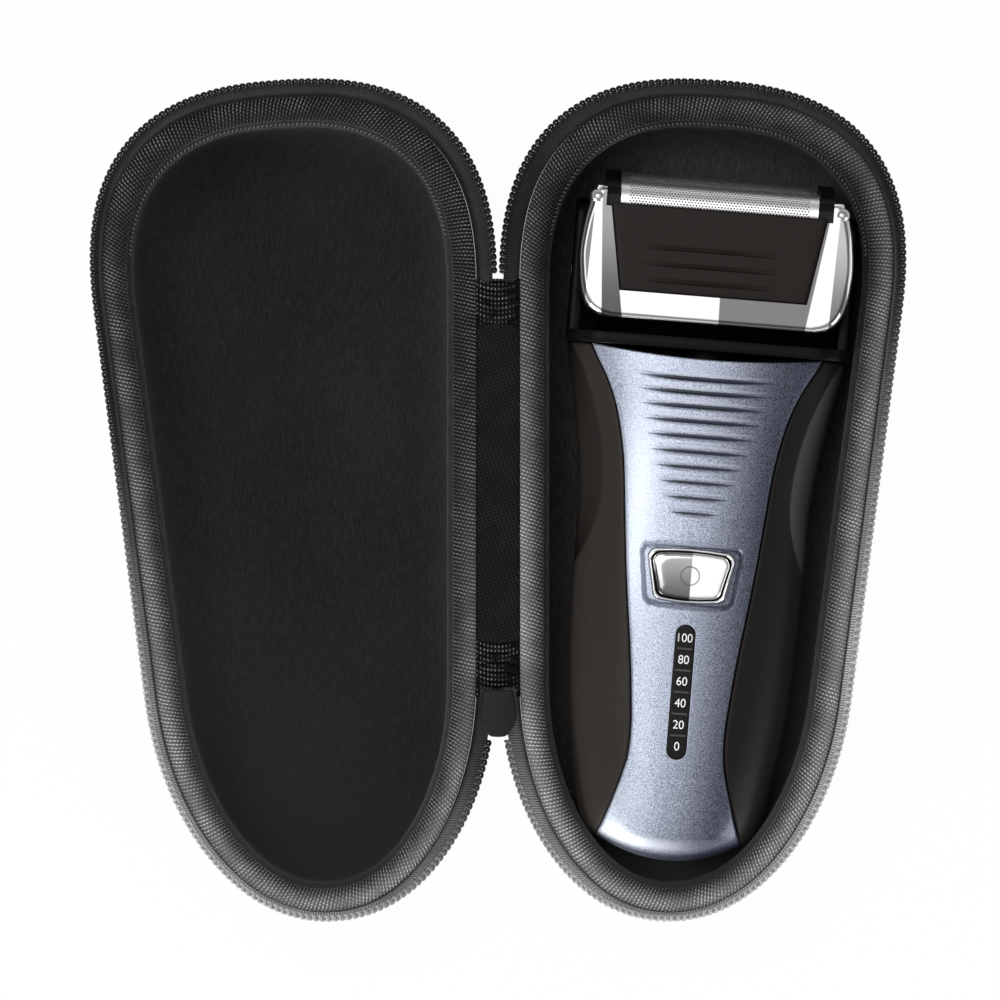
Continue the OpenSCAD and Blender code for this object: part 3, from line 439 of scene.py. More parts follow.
def fine_weave(name, dark, light, pitch, bump=0.00008, rough=0.75, specular=0.3, sheen=0.1):
    """Plain weave at a given pitch, on the UV in millimetres."""
    g = Graph(name)
    u, v = g.uv()
    a = g.wave(u, pitch)
    b = g.wave(v, pitch)
    over = g.math("ADD", g.math("MULTIPLY", a, b), g.math("MULTIPLY", g.math("SUBTRACT", 1.0, a), g.math("SUBTRACT", 1.0, b)))
    n = g.ramp(g.noise(220.0, 3.0), 0.3, 0.7, 0.7, 1.0)
    f = g.math("MULTIPLY", g.ramp(over, 0.35, 0.9), n)
    return g.done(g.mix(f, dark, light), rough, 0, g.bump(over, bump, 0.8), specular,
                  Sheen_Weight=sheen, Sheen_Roughness=0.5)


def shaver_axes(g):
    """The place on the shaver in millimetres: across it and along it."""
    x, y, _ = g.axes(g.place())
    x = g.math("MULTIPLY_ADD", x, 1000, -39.6)
    y = g.math("MULTIPLY_ADD", y, 1000, 84.8)
    c, s = math.cos(SLANT), math.sin(SLANT)
    p = g.math("SUBTRACT", g.math("MULTIPLY", x, c), g.math("MULTIPLY", y, s))
    return p, g.math("ADD", g.math("MULTIPLY", x, s), g.math("MULTIPLY", y, c))


def grip_satin():
    """Brown-black satin rubber with painted light: lighter where it turns away from view, the left grip lighter than
    the right, and a long band down each outer side painted as a highlight on the right and as shade on the left.
    """
    g = Graph("grip_satin")
    n = g.noise(5000.0, 2.0)
    # painted light: lighter where the surface turns away from view
    turn = g.nodes.new("ShaderNodeLayerWeight")
    turn.inputs["Blend"].default_value = 0.35
    p, q = shaver_axes(g)
    # painted light: the right grip is a darker copy of the left
    right = g.ramp(p, -4.0, 4.0)
    near = g.mix(right, lin(43, 39, 36), lin(20, 18, 17))
    colour = g.mix(g.ramp(turn.outputs["Facing"], 0.1, 0.95), near, g.mix(right, lin(74, 69, 65), lin(52, 49, 47)))
    q = g.math("ADD", q, -86.0)
    below = g.math("MINIMUM", q, 0.0)
    curve = g.math("MULTIPLY_ADD", g.math("MULTIPLY", q, q), 0.0085, g.math("MULTIPLY_ADD", g.math("MULTIPLY", below, below), 0.0075, 22.2))
    beyond = g.math("SUBTRACT", g.math("ABSOLUTE", p), curve)
    # painted highlight along the right grip's outer side, painted shade along the left's
    painted_facet_shading = g.math("MULTIPLY", g.ramp(beyond, -0.25, 0.25), g.ramp(beyond, 0.0, 5.5, 1.0, 0.45))
    colour = g.mix(painted_facet_shading, colour, g.mix(right, lin(31, 28, 26), lin(64, 63, 62)))
    return g.done(colour, 0.42, 0, g.bump(n, 0.000012, 0.6), 0.16)


def coil_thread(name, lift):
    """The zipper's teeth, made lighter towards the narrow end by painted glare, like the tape they are sewn to."""
    g = Graph(name)
    x, y, _ = g.axes(g.place())
    far = g.math("MULTIPLY_ADD", g.math("ABSOLUTE", x), 900.0, g.math("MULTIPLY", y, -1000.0))
    n = g.ramp(g.noise(900.0, 2.0), 0.3, 0.7, 0.8, 1.0)
    # painted glare: lighter towards the narrow end, with a random tone
    painted_glare = g.math("MULTIPLY", g.ramp(g.math("ADD", far, lift), 50.0, 140.0), n)
    return g.done(g.mix(painted_glare, lin(25, 25, 26), lin(176, 176, 177)), 0.45, 0, None, 0.25)


def tape_cloth(name, lift):
    """Flat zipper tape: fine lines across it, a smooth woven edge, and painted glare that makes it lighter towards the
    narrow end.
    """
    g = Graph(name)
    u, v = g.uv()
    n = g.noise(500.0, 2.0)
    line = g.wave(g.math("MULTIPLY_ADD", n, 0.6, u), 0.62)
    soft = g.ramp(g.noise(90.0, 2.0), 0.3, 0.7, 0.5, 1.0)
    f = g.math("MULTIPLY", g.ramp(line, 0.2, 0.95), soft)
    x, y, _ = g.axes(g.place())
    # painted glare: the tape is made lighter towards the narrow end
    far = g.math("MULTIPLY_ADD", g.math("ABSOLUTE", x), 900.0, g.math("MULTIPLY", y, -1000.0))
    painted_glare = g.ramp(g.math("ADD", far, lift), 50.0, 140.0)
    ground, thread = g.mix(painted_glare, lin(22, 22, 23), lin(112, 112, 113)), g.mix(painted_glare, lin(50, 50, 51), lin(196, 196, 197))
    return g.done(g.mix(f, ground, thread), 0.8, 0, g.bump(line, 0.00006, 0.7), 0.15,
                  Sheen_Weight=0.25, Sheen_Roughness=0.45)


M = {
    "shell": fine_weave("moulded_shell_cloth", lin(30, 30, 31), lin(52, 52, 54), 0.5, 0.00005, 0.7, 0.3),
    "lining": knit("jersey_lining", lin(24, 24, 25), lin(52, 52, 53)),
    # painted light: the base gets a lighter copy of the same jersey
    "lining_base": knit("jersey_lining_base", lin(46, 46, 47), lin(94, 94, 95)),
    "hem": knit("hem_cloth", lin(18, 18, 19), lin(54, 54, 55)),
    # the last number in each of these shifts where the painted glare begins on that half
    "binding": woven_binding("woven_binding", -0.3, 52.0),
    "binding_lid": woven_binding("woven_binding_lid", 0.3, -6.0),
    "tape_base": tape_cloth("zip_tape_cloth", 22.0),
    "tape_lid": tape_cloth("zip_tape_cloth_lid", -8.0),
    "coil_base": coil_thread("zip_coil", 22.0),
    "coil_lid": coil_thread("zip_coil_lid", -8.0),
    "zip_metal": plain("slider_black", lin(30, 30, 31), 0.45, specular=0.1, grain=0.00001),
    "stitch": plain("stitch_thread", lin(104, 104, 105), 0.6, specular=0.3),
    "grip": grip_satin(),
    "black": plain("black_moulded", lin(9, 9, 9), 0.34, specular=0.16, grain=0.00001, scale=3000.0),
    "face": plain("face_satin", lin(31, 26, 24), 0.36, specular=0.1, grain=0.00001, scale=4000.0),
    "steel": plain("bare_steel", lin(176, 176, 178), 0.28, 1.0, grain=0.00001, scale=2000.0),
    "copper": plain("cell_wrap", lin(196, 112, 50), 0.4),
    "board": plain("circuit_green", lin(26, 84, 46), 0.45),
    "inner": plain("inner_moulded", lin(92, 92, 94), 0.5),
    "drive": plain("drive_moulded", lin(214, 214, 210), 0.4),
}


def hinge_cloth():
    """Dark open weave with a grid of small pits."""
    g = Graph("hinge_cloth")
    x, y, z = g.axes(g.place())
    a = g.wave(g.math("MULTIPLY_ADD", x, 940.0, g.math("MULTIPLY", y, 340.0)), 0.95)
    b = g.wave(g.math("MULTIPLY_ADD", y, 940.0, g.math("MULTIPLY", x, -340.0)), 0.8)
    pit = g.ramp(g.math("MULTIPLY", a, b), 0.3, 0.85, 1.0, 0.0)
    cloud = g.ramp(g.noise(160.0, 2.0), 0.3, 0.7, 0.6, 1.0)
    colour = g.mix(g.math("MULTIPLY", pit, cloud), lin(9, 9, 9), lin(29, 29, 30))
    return g.done(colour, 0.8, 0, g.bump(pit, 0.0003, 0.9), 0.08)


def panel_paint():
    """Pearl blue-grey paint, with flakes that catch the light one by one, and painted light: lighter on the left and
    darker on the right, a painted highlight along the left side and low on the left, painted shade in each groove with
    a painted highlight above it, a painted highlight on the bottom lip and painted shade at its very end.
    """
    g = Graph("pearl_panel")
    fleck = g.noise(3700.0, 2.0, 0.6)
    f = g.ramp(fleck, 0.38, 0.62)
    p, q = shaver_axes(g)
    _, v = g.uv()
    # painted shading: lighter on the left, darker on the right
    across = g.ramp(g.math("MULTIPLY_ADD", q, -0.06, p), -9.5, 12.0)
    # painted highlight along the left side and low on the left
    glow = g.math("MULTIPLY", g.ramp(p, -15.5, -7.5, 0.8, 0.0), g.ramp(g.math("ABSOLUTE", g.math("ADD", q, -78.0)), 6.0, 34.0, 1.0, 0.0))
    low = g.math("MULTIPLY", g.ramp(p, -12.0, -2.0, 0.55, 0.0), g.ramp(q, 10.0, 28.0, 1.0, 0.0))
    glow = g.math("MAXIMUM", glow, low)
    dark = g.mix(glow, g.mix(across, lin(120, 127, 146), lin(34, 37, 50)), lin(200, 209, 226))
    light = g.mix(glow, g.mix(across, lin(198, 205, 222), lin(90, 95, 112)), lin(232, 240, 252))
    colour = g.mix(f, dark, light)
    step = g.math("DIVIDE", g.math("SUBTRACT", 114.4, v), 3.6)
    k = g.math("ROUND", step)
    d = g.math("SUBTRACT", step, k)
    half = g.math("MULTIPLY_ADD", k, g.math("MULTIPLY_ADD", k, -0.085, -0.5), 18.8)
    lens = g.ramp(g.math("DIVIDE", g.math("ABSOLUTE", p), half), 0.3, 1.0, 1.0, 0.0)
    lens = g.math("MULTIPLY", lens, g.math("MULTIPLY", g.math("GREATER_THAN", k, -0.5), g.math("LESS_THAN", k, 9.5)))
    lens = g.math("MULTIPLY", lens, g.math("MULTIPLY_ADD", k, -0.055, 1.0))

    def streak(place, width, strength):
        thin = g.math("MULTIPLY_ADD", lens, -width, g.math("ABSOLUTE", g.math("ADD", d, -place)))
        return g.math("MULTIPLY", g.ramp(thin, -0.05, 0.05, strength, 0.0), g.ramp(lens, 0.0, 0.25))

    # painted shade in each groove and a painted highlight just above it
    shade, shine = streak(0.05, 0.17, 0.97), streak(-0.25, 0.12, 0.35)
    # painted highlight on the rolled lip at the bottom, stronger on the left
    lip = g.math("MULTIPLY", g.ramp(g.math("ABSOLUTE", g.math("ADD", v, -3.9)), 0.3, 2.0, 0.85, 0.0), g.ramp(p, -2.0, 9.0, 1.0, 0.3))
    colour = g.mix(g.math("MAXIMUM", shine, lip), colour, g.mix(across, lin(236, 241, 250), lin(136, 142, 162)))
    # painted shade at the panel's lower end
    colour = g.mix(g.math("MAXIMUM", shade, g.ramp(v, 2.7, 1.0, 0.0, 0.75)), colour, lin(24, 29, 48))
    return g.done(colour, g.ramp(fleck, 0.3, 0.7, 0.28, 0.48), 0.5, g.bump(fleck, 0.00002, 0.5), 0.4,
                  Coat_Weight=0.35, Coat_Roughness=0.12)


def chrome(name, tone=None):
    """Bright plating. tone is a painted reflection: it gives the share of its reflection at each place, where the
    studio is seen in it.
    """
    g = Graph(name)
    if tone is None:
        return g.done(lin(226, 226, 228), 0.16, 1.0)
    return g.done(g.mix(tone(g), lin(96, 96, 99), lin(252, 252, 252)), 0.09, 1.0)


def side_of(g, p, q, slope, offset, soft=0.12):
    """1 to the right of a line on the shaver, where p is over slope times q plus offset."""
    d = g.math("SUBTRACT", p, g.math("MULTIPLY_ADD", q, slope, offset))
    return g.ramp(d, -soft, soft)


def frame_painted_reflection(g):
    """Facets of the bright frame, with painted reflections: arms in three strips, and the bottom band white on the left
    and grey on the right.
    """
    p, q = shaver_axes(g)
    q = g.math("ADD", q, -132.5)
    left, right = g.ramp(q, -4.0, 20.0, 0.0, 0.28), g.ramp(q, -4.0, 18.0, 0.1, 0.5)
    strips = [(0.03, -29.7, 1.0), (-0.071, -26.1, left), (-0.166, -21.9, 1.0), (-0.02, 1.6, 0.12), (0.15, 22.9, 1.0),
              (0.03, 27.6, right), (-0.03, 31.3, 1.0)]
    tone = 0.15
    for slope, offset, value in strips:
        step = side_of(g, p, q, slope, offset)
        tone = g.math("ADD", tone, g.math("MULTIPLY", step, g.math("SUBTRACT", value, tone)))
    return tone


def button_painted_reflection(g):
    # painted reflection on the button: darker towards its bottom, white on its right half, a bright bar at its left
    # edge, and darker round the power sign's ring
    p, q = shaver_axes(g)
    fall = g.ramp(q, BUTTON_Q - 5, BUTTON_Q + 5, 0.03, 0.35)
    right = side_of(g, p, q, 0.0, 0.2)
    edge = g.ramp(p, -8.4, -8.1, 1.0, 0.0)
    tone = g.math("ADD", fall, g.math("MULTIPLY", right, g.math("SUBTRACT", 1.0, fall)))
    away = g.math("SQRT", g.math("ADD", g.math("POWER", p, 2.0), g.math("POWER", g.math("ADD", q, -BUTTON_Q), 2.0)))
    ring = g.ramp(g.math("ABSOLUTE", g.math("ADD", away, -2.15)), 0.1, 0.24, 0.25, 1.0)
    return g.math("MULTIPLY", g.math("MAXIMUM", tone, edge), ring)


def foil_mesh():
    """Thin steel with rows of small round holes painted dark as painted shade, since they are not cut, and plain bright
    ends.
    """
    g = Graph("perforated_foil")
    u, v = g.uv()
    row = g.math("DIVIDE", u, 0.62)
    odd = g.math("MULTIPLY", g.math("MODULO", g.math("FLOOR", row), 2.0), 0.5)
    cu = g.math("SUBTRACT", g.math("FRACT", row), 0.5)
    cv = g.math("SUBTRACT", g.math("FRACT", g.math("ADD", g.math("DIVIDE", v, 0.74), odd)), 0.5)
    d = g.math("SQRT", g.math("ADD", g.math("POWER", cu, 2.0), g.math("POWER", cv, 2.0)))
    # painted shade: the holes are dark discs, not openings
    hole = g.ramp(d, 0.2, 0.33, 1.0, 0.0)
    inside = g.ramp(g.math("ABSOLUTE", g.math("SUBTRACT", v, 23.2)), 21.0, 21.3, 1.0, 0.0)
    f = g.math("MULTIPLY", hole, inside)
    colour = g.mix(f, lin(255, 255, 255), lin(84, 84, 86))
    return g.done(colour, g.ramp(f, 0.0, 1.0, 0.36, 0.6), 1.0, g.bump(f, -0.0001, 0.7))


def fold_cloth():
    """The tape ends: columns of bright dots on black."""
    g = Graph("fold_cloth")
    x, y, z = g.axes(g.place())
    x, y = g.math("MULTIPLY", x, 1000), g.math("MULTIPLY", y, 1000)
    y = g.math("MULTIPLY_ADD", g.math("MULTIPLY", x, x), -0.045, y)
    a, b = g.wave(x, 0.86), g.wave(y, 1.12)
    near = g.ramp(g.noise(240.0, 2.0), 0.35, 0.62)
    f = g.math("MULTIPLY", g.math("MULTIPLY", g.ramp(a, 0.4, 0.95), g.ramp(b, 0.3, 0.95)), near)
    return g.done(g.mix(f, lin(12, 12, 12), lin(126, 126, 127)), 0.8, 0, g.bump(f, 0.0002, 0.9), 0.1)


M["yoke"] = plain("yoke_satin", lin(10, 9, 9), 0.36, specular=0.08, grain=0.00001, scale=3000.0)
M["fold"] = fold_cloth()
M["hinge"] = hinge_cloth()
M["panel"] = panel_paint()
M["chrome"] = chrome("chrome_plating")
M["pin_chrome"] = plain("pin_plating", lin(190, 190, 192), 0.3, 1.0)
M["frame_chrome"] = chrome("frame_plating", frame_painted_reflection)
M["button_chrome"] = chrome("button_plating", button_painted_reflection)
M["foil"] = foil_mesh()


# ---------------------------------------------------------------- case halves

def half_shell():
    a, _ = even_stations(420, rim_xy)
    outer = bowl(0, 12, a)
    inner = bowl(SHELL_T, 8, a)[::-1]
    return loft(np.concatenate([outer, inner]))


def half_lining(seed):
    """The lining, drawn tight over the wall, with slight waves where the cloth was pressed."""
    a, run = even_stations(720, rim_xy)
    outer = bowl(SHELL_T + 0.1, 8, a)
    inner = bowl(INNER_T, 16, a)
    r = np.random.default_rng(seed)
    lift = np.zeros(inner.shape[:2])
    for _ in range(26):
        kx, ky = r.normal(0, 0.11, 2)
        lift += np.sin(inner[..., 0] * kx + inner[..., 1] * ky + r.uniform(0, 6.28)) / 26
    fade = np.concatenate([np.ones(len(inner) - 6), np.linspace(1, 0, 6)])[:, None]
    inner = inner.copy()
    inner[..., 2] += 0.5 * lift * fade * (inner[..., 2] < 12)
    return loft(np.concatenate([outer, inner[::-1]]))


def half_binding():
    """The binding tape, folded over the rim: a rounded crown with a fine rib for each weft."""
    n = 2400
    a, run = even_stations(n, rim_xy)
    out_e, in_e, t = -0.9, 4.6, 0.8
    mid, half = (out_e + in_e) / 2, (in_e - out_e) / 2
    path = [(out_e, 27.8), (out_e, 28.9), (out_e, 30.0)]
    for k in range(15):
        w = math.pi * (1 - k / 14)
        path.append((mid + half * math.cos(w), RIM_Z + 0.05 + (1.45) * math.sin(w) ** 0.75))
    path += [(in_e + wall_e(29.6), 29.6), (in_e + wall_e(28.3), 28.3), (in_e + wall_e(27), 27.0)]
    back = [(in_e + wall_e(27) - t, 27.0), (in_e - t, RIM_Z + 0.1), (mid, RIM_Z + 0.1), (-0.1, RIM_Z + 0.1), (-0.1, 27.8)]
    s = np.arange(n) / n * run
    rib = 2 * np.round(run / 1.8)
    phase = 2 * math.pi * rib * np.arange(n) / n
    rings = []
    for k, (e, z) in enumerate(path):
        wave = 0.05 * np.sin(phase + k * 0.55)
        push = math.sin(math.pi * min(1, max(0, (k - 1) / (len(path) - 3))))
        rings.append(at(rim_xy, a, e, z + wave * (0.3 + push)))
    for e, z in back:
        rings.append(at(rim_xy, a, e, z))
    v = np.concatenate([[0], np.cumsum([math.dist(p, q) for p, q in zip(path + back, (path + back)[1:] + path[:1])])])
    return grid(np.array(rings), close_i=True, close_j=True, u=np.linspace(0, rib * 0.9, n + 1), v=v)


SLIDER_TOP = -33.5 - 10.4 - 0.4
zy = -zip_xy(np.arange(30, 40, 0.1), 0)[:, 1] + MID_Y
ZIP_START = float(np.interp(-(SLIDER_TOP - 11.4 - 0.3), zy[::-1] if zy[0] > zy[-1] else zy,
                            np.arange(30, 40, 0.1)[::-1] if zy[0] > zy[-1] else np.arange(30, 40, 0.1)))
zy2 = -zip_xy(np.arange(60, 75, 0.1), 0)[:, 1] + MID_Y
ZIP_END = float(np.interp(-(41.5 + 0.1 + 9 + 0.9), zy2[::-1] if zy2[0] > zy2[-1] else zy2,
                          np.arange(60, 75, 0.1)[::-1] if zy2[0] > zy2[-1] else np.arange(60, 75, 0.1)))


TAPE_START = float(np.interp(44.0, zy[::-1] if zy[0] > zy[-1] else zy,
                             np.arange(30, 40, 0.1)[::-1] if zy[0] > zy[-1] else np.arange(30, 40, 0.1)))


def half_tape():
    """The zipper tape, from under the binding out to the teeth."""
    a, run = even_stations(900, zip_xy, TAPE_START, ZIP_END)
    foot, head = at(rim_xy, a, -0.95, 29.9), at(zip_xy, a, 2.1, 32.75)
    top, low = [], []
    for f in np.linspace(0, 1, 7):
        rise = 0.5 * math.sin(math.pi * f)
        p = foot + (head - foot) * f
        p[:, 2] += rise
        top.append(p)
        low.append(p - [0, 0, 0.38])
    edge = at(zip_xy, a, 1.1, 33.0)
    top.append(edge)
    low.append(edge - [0, 0, 0.3])
    ring = np.array(top + low[::-1]).transpose(1, 0, 2)
    part = grid(ring.transpose(1, 0, 2), close_i=True)
    m, n = len(top) * 2, len(a)
    cap(part, [k * n for k in range(m)])
    cap(part, [k * n + n - 1 for k in range(m)])
    return part


def half_coil(phase):
    """One row of the coil zipper: a flattened spiral round the line, and the cord inside it."""
    _, run = even_stations(10, zip_xy, ZIP_START, ZIP_END)
    turns = int(run / 1.57) - 1
    per, sides, wire = 16, 8, 0.36
    n = turns * per
    w = 2 * math.pi * np.arange(n) / per + phase
    s = (np.arange(n) / per + 0.3) * 1.57 + 0.25 * np.sin(2 * w)
    fine = np.linspace(ZIP_START, ZIP_END, 6001)
    line = zip_xy(fine, 0)
    runs_ = np.concatenate([[0], np.cumsum(np.linalg.norm(np.diff(line, axis=0), axis=1))])
    a = np.interp(s, runs_, fine)
    e = 0.82 - 0.52 * np.cos(w)
    z = 33.2 + 0.34 * np.sin(w)
    xy = placed(*outline_at(a, e))
    centre = np.stack([xy[:, 0], xy[:, 1] - MID_Y, z], -1)
    tangent = np.gradient(centre, axis=0)
    tangent /= np.linalg.norm(tangent, axis=1)[:, None]
    inner = placed(*outline_at(a, np.full(n, 0.82)))
    axis = np.stack([inner[:, 0], inner[:, 1] - MID_Y, np.full(n, 33.2)], -1)
    out = centre - axis
    out -= tangent * (out * tangent).sum(1)[:, None]
    out /= np.linalg.norm(out, axis=1)[:, None]
    side = np.cross(tangent, out)
    t = 2 * math.pi * np.arange(sides) / sides
    rings = centre[:, None] + wire * (np.cos(t)[None, :, None] * out[:, None] + np.sin(t)[None, :, None] * side[:, None])
    coil = loft(rings)
    b, _ = even_stations(500, zip_xy, ZIP_START, ZIP_END)
    core = np.array([at(zip_xy, b, 1.35 + 0.22 * math.cos(x), 33.25 + 0.22 * math.sin(x)) for x in np.linspace(0, 2 * math.pi, 8, endpoint=False)])
    return [coil, loft(core.transpose(1, 0, 2))]


def outline_at(a, e):
    return outline(a, HALF_W - e, HALF_LEN - e, HALF_LEN - e)


def stitches(f, e, z, pitch, length, r, lo=0.0, hi=48.0):
    """A row of short slanted threads along a line round the half."""
    _, run = even_stations(10, f, lo, hi)
    a, _ = even_stations(int(run / pitch), f, lo, hi)
    p, q = at(f, a, e, z), at(f, a + 0.01, e, z)
    d = (q - p) / np.linalg.norm(q - p, axis=1)[:, None]
    side = np.cross(d, [0, 0, 1.0])
    parts = []
    for k, (c, x, y) in enumerate(zip(p, d, side)):
        w = math.radians(58 + 14 * math.sin(k * 2.4))
        along, across = x * math.cos(w) + y * math.sin(w), y * math.cos(w) - x * math.sin(w)
        rows = []
        for m in np.linspace(-1, 1, 5):
            rr = r * math.sqrt(max(0.05, 1 - m * m))
            o = c + along * m * length / 2 + [0, 0, r * 0.6 * (1 - m * m)]
            rows.append([o + rr * (math.cos(t) * across + math.sin(t) * np.array([0, 0, 1.0]))
                         for t in np.linspace(0, 2 * math.pi, 6, endpoint=False)])
        parts.append(loft(rows))
    return parts


def half_hem():
    """The rolled hem of the lining, just inside the binding."""
    a, _ = even_stations(600, rim_xy)
    path = [(4.4, 30.3), (5.0, 30.1), (5.6, 29.6), (5.95, 28.9), (6.0, 28.2), (5.7, 27.4), (5.1, 26.9), (4.0, 26.8), (4.0, 30.3)]
    return grid(np.array([at(rim_xy, a, e, z) for e, z in path]), close_i=True, close_j=True)


for side, flip in (("base", False), ("lid", True)):
    turned = (lambda p: mirrored(joined(p) if not isinstance(p, Part) else p)) if flip else (lambda p: p)
    piece(f"{side}_moulded_shell", turned(half_shell()), M["shell"], side, [f"{side}_shell"])
    cloth = piece(f"{side}_jersey_lining", turned(half_lining(11 + flip)), M["lining" if flip else "lining_base"], side, [f"{side}_lining"])
    cloth = piece(f"{side}_woven_binding", turned(half_binding()), M["binding_lid" if flip else "binding"], side, [f"{side}_binding"])
    cloth = piece(f"{side}_tape", turned(half_tape()), M[f"tape_{side}"], side, [f"{side}_zip_tape"])
    piece(f"{side}_hem", turned(half_hem()), M["lining" if flip else "hem"], side)
    piece(f"{side}_stitches", turned(stitches(rim_xy, 5.3, 29.95, 1.15, 0.95, 0.16, 7.5, 22.5)), M["stitch"], side)
    piece(f"{side}_coil", turned(half_coil(math.pi * flip)), M[f"coil_{side}"], side, [f"{side}_zip_teeth"])


# ---------------------------------------------------------------- hinge, folds, slider and pull

def strip(w, y0, y1, z0, t, rows, cols, top=None, round_ends=0.0):
    """A flat strip across the hinge with soft long edges. top(x, y) adds height to its upper side."""
    ys_ = np.linspace(y0, y1, rows)
    prof = []
    for k in range(cols):
        x = -1 + 2 * k / (cols - 1)
        prof.append(x)
    prof = np.sin(np.array(prof) * math.pi / 2)
    rings = []
    for y in ys_:
        d = min(y - y0, y1 - y)
        f = 1 if d >= round_ends or not round_ends else math.sqrt(max(0.0, 1 - (1 - d / round_ends) ** 2))
        ww = w * (0.55 + 0.45 * f) if round_ends else w
        x = prof * ww
        lift = np.sqrt(np.clip(1 - (np.abs(x) / ww) ** 8, 0, 1))
        h = top(x, y) if top else 0
        up = np.stack([x, np.full(cols, y), z0 + t / 2 + (t / 2 + h) * lift], -1)
        dn = np.stack([x, np.full(cols, y), z0 + t / 2 - t / 2 * lift], -1)
        rings.append(np.concatenate([up, dn[1:-1][::-1]]))
    return loft(np.array(rings))


web = piece("hinge_cloth_web", strip(5.3, -33.4, 41.4, 30.75, 0.9, 150, 41, round_ends=2.2), M["hinge"], None,
            ["hinge_web"])
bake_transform(web)


def gathers(y0, y1):
    """Height of the gathered cloth: soft folds that bow towards the zipper, and fade out under the web."""
    def top(x, y):
        x = np.asarray(x)
        inner = (41.4 - y) if y0 > 0 else (y + 33.4)
        shown = np.clip(-inner / 0.8, 0, 1) * np.clip((y + 44.3) / 0.8, 0, 1)
        k = (y - y0 - 1.1 * (x / 5) ** 2 * (1 if y0 > 0 else -1)) / 2.3
        return shown * (0.75 * np.abs(np.cos(math.pi * k)) ** 0.7 + 0.15 * np.sin(x * 5.2 + 2 * np.sin(y))) + 0.15
    return top


for name, node, y0, y1, key in (("gathered_fold_top", "zip_end_fold_top", 38.4, 52.0, "fold"),
                                ("gathered_fold_bottom", "zip_end_fold_bottom", -46.2, -30.6, "fold")):
    fold = piece(name, strip(5.25, y0, y1, 30.3, 0.8, 150, 81, gathers(y0, y1)), M[key], None, [node])
    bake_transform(fold)


def shield(inset, n=96):
    """Outline of the slider: flat top, widest below its middle, rounded tip."""
    w = 4.35 - inset
    top, tip = SLIDER_TOP - inset, SLIDER_TOP - 11.4 + inset
    pts = []
    right = [(0, tip), (0.35, tip + 0.12), (0.62, tip + 0.8), (0.86, tip + 2.4), (0.98, tip + 4.2), (1.0, tip + 5.2),
             (0.97, tip + 6.6), (0.9, top - 2.4), (0.84, top - 1.0), (0.8, top - 0.3), (0.7, top), (0, top)]
    xs, yy = np.array([p[0] * w for p in right]), np.array([p[1] for p in right])
    t = np.concatenate([[0], np.cumsum(np.hypot(np.diff(xs), np.diff(yy)))])
    f = np.linspace(0, t[-1], n // 2 + 1)
    x, y = np.interp(f, t, xs), np.interp(f, t, yy)
    return np.concatenate([np.stack([x, y], -1), np.stack([-x[1:-1][::-1], y[1:-1][::-1]], -1)])


def plate(outline_of, z0, z1, r, dome=0.0, steps=6):
    """A flat piece with rounded edges. outline_of(inset) gives its outline."""
    rings = []
    for k in range(steps + 1):
        t = math.pi / 2 * k / steps
        rings.append((outline_of(r * (1 - math.sin(t))), z0 + r * (1 - math.cos(t))))
    for k in range(steps + 1):
        t = math.pi / 2 * k / steps
        rings.append((outline_of(r * (1 - math.cos(t))), z1 - r * (1 - math.sin(t))))
    last, z = rings[-1]
    if dome:
        mid = last.mean(0)
        for s in (0.85, 0.65, 0.42, 0.2):
            rings.append((mid + (last - mid) * s, z + dome * (1 - s * s)))
    return loft(np.array([np.column_stack([p, np.full(len(p), zz)]) for p, zz in rings]))


def turned_x(centre, r, half, n=32, bevel=0.1):
    """A cylinder across the hinge."""
    t = np.linspace(0, 2 * math.pi, n, endpoint=False)
    rows = [(-half, r - bevel), (-half + bevel, r), (half - bevel, r), (half, r - bevel)]
    return loft(np.array([np.stack([np.full(n, x), rr * np.cos(t), rr * np.sin(t)], -1) for x, rr in rows]) + centre)


PIN_Z, PULL_Y = 31.4 - 1.5, SLIDER_TOP - 5.7


def lug(x0, x1):
    """One side of the bridge below the slider that holds the pull's pin."""
    t = np.linspace(0, math.pi, 17)
    line = [(PULL_Y + 1.6, 31.6)] + [(PULL_Y + 1.6 * math.cos(k), PIN_Z - 1.4 * math.sin(k)) for k in t] + [(PULL_Y - 1.6, 31.6)]
    rows = []
    for x, s in ((x0, 0.92), (x0 + 0.12, 1), (x1 - 0.12, 1), (x1, 0.92)):
        rows.append([[x, PULL_Y + (y - PULL_Y) * s, z] for y, z in line])
    return loft(rows)


slider = [plate(shield, 31.4, 32.5, 0.35), plate(lambda e: shield(e + 0.2), 34.9, 35.7, 0.38, 0.3),
          lug(-2.3, -1.1), lug(1.1, 2.3)]
wedge = np.linspace(0, 2 * math.pi, 32, endpoint=False)
slider.append(loft([[[1.1 * math.cos(k), SLIDER_TOP - 8.9 + 1.8 * math.sin(k), z] for k in wedge] for z in (32.2, 35.2)]))
piece("slider_body", slider, M["zip_metal"], "slider", ["zip_slider"])


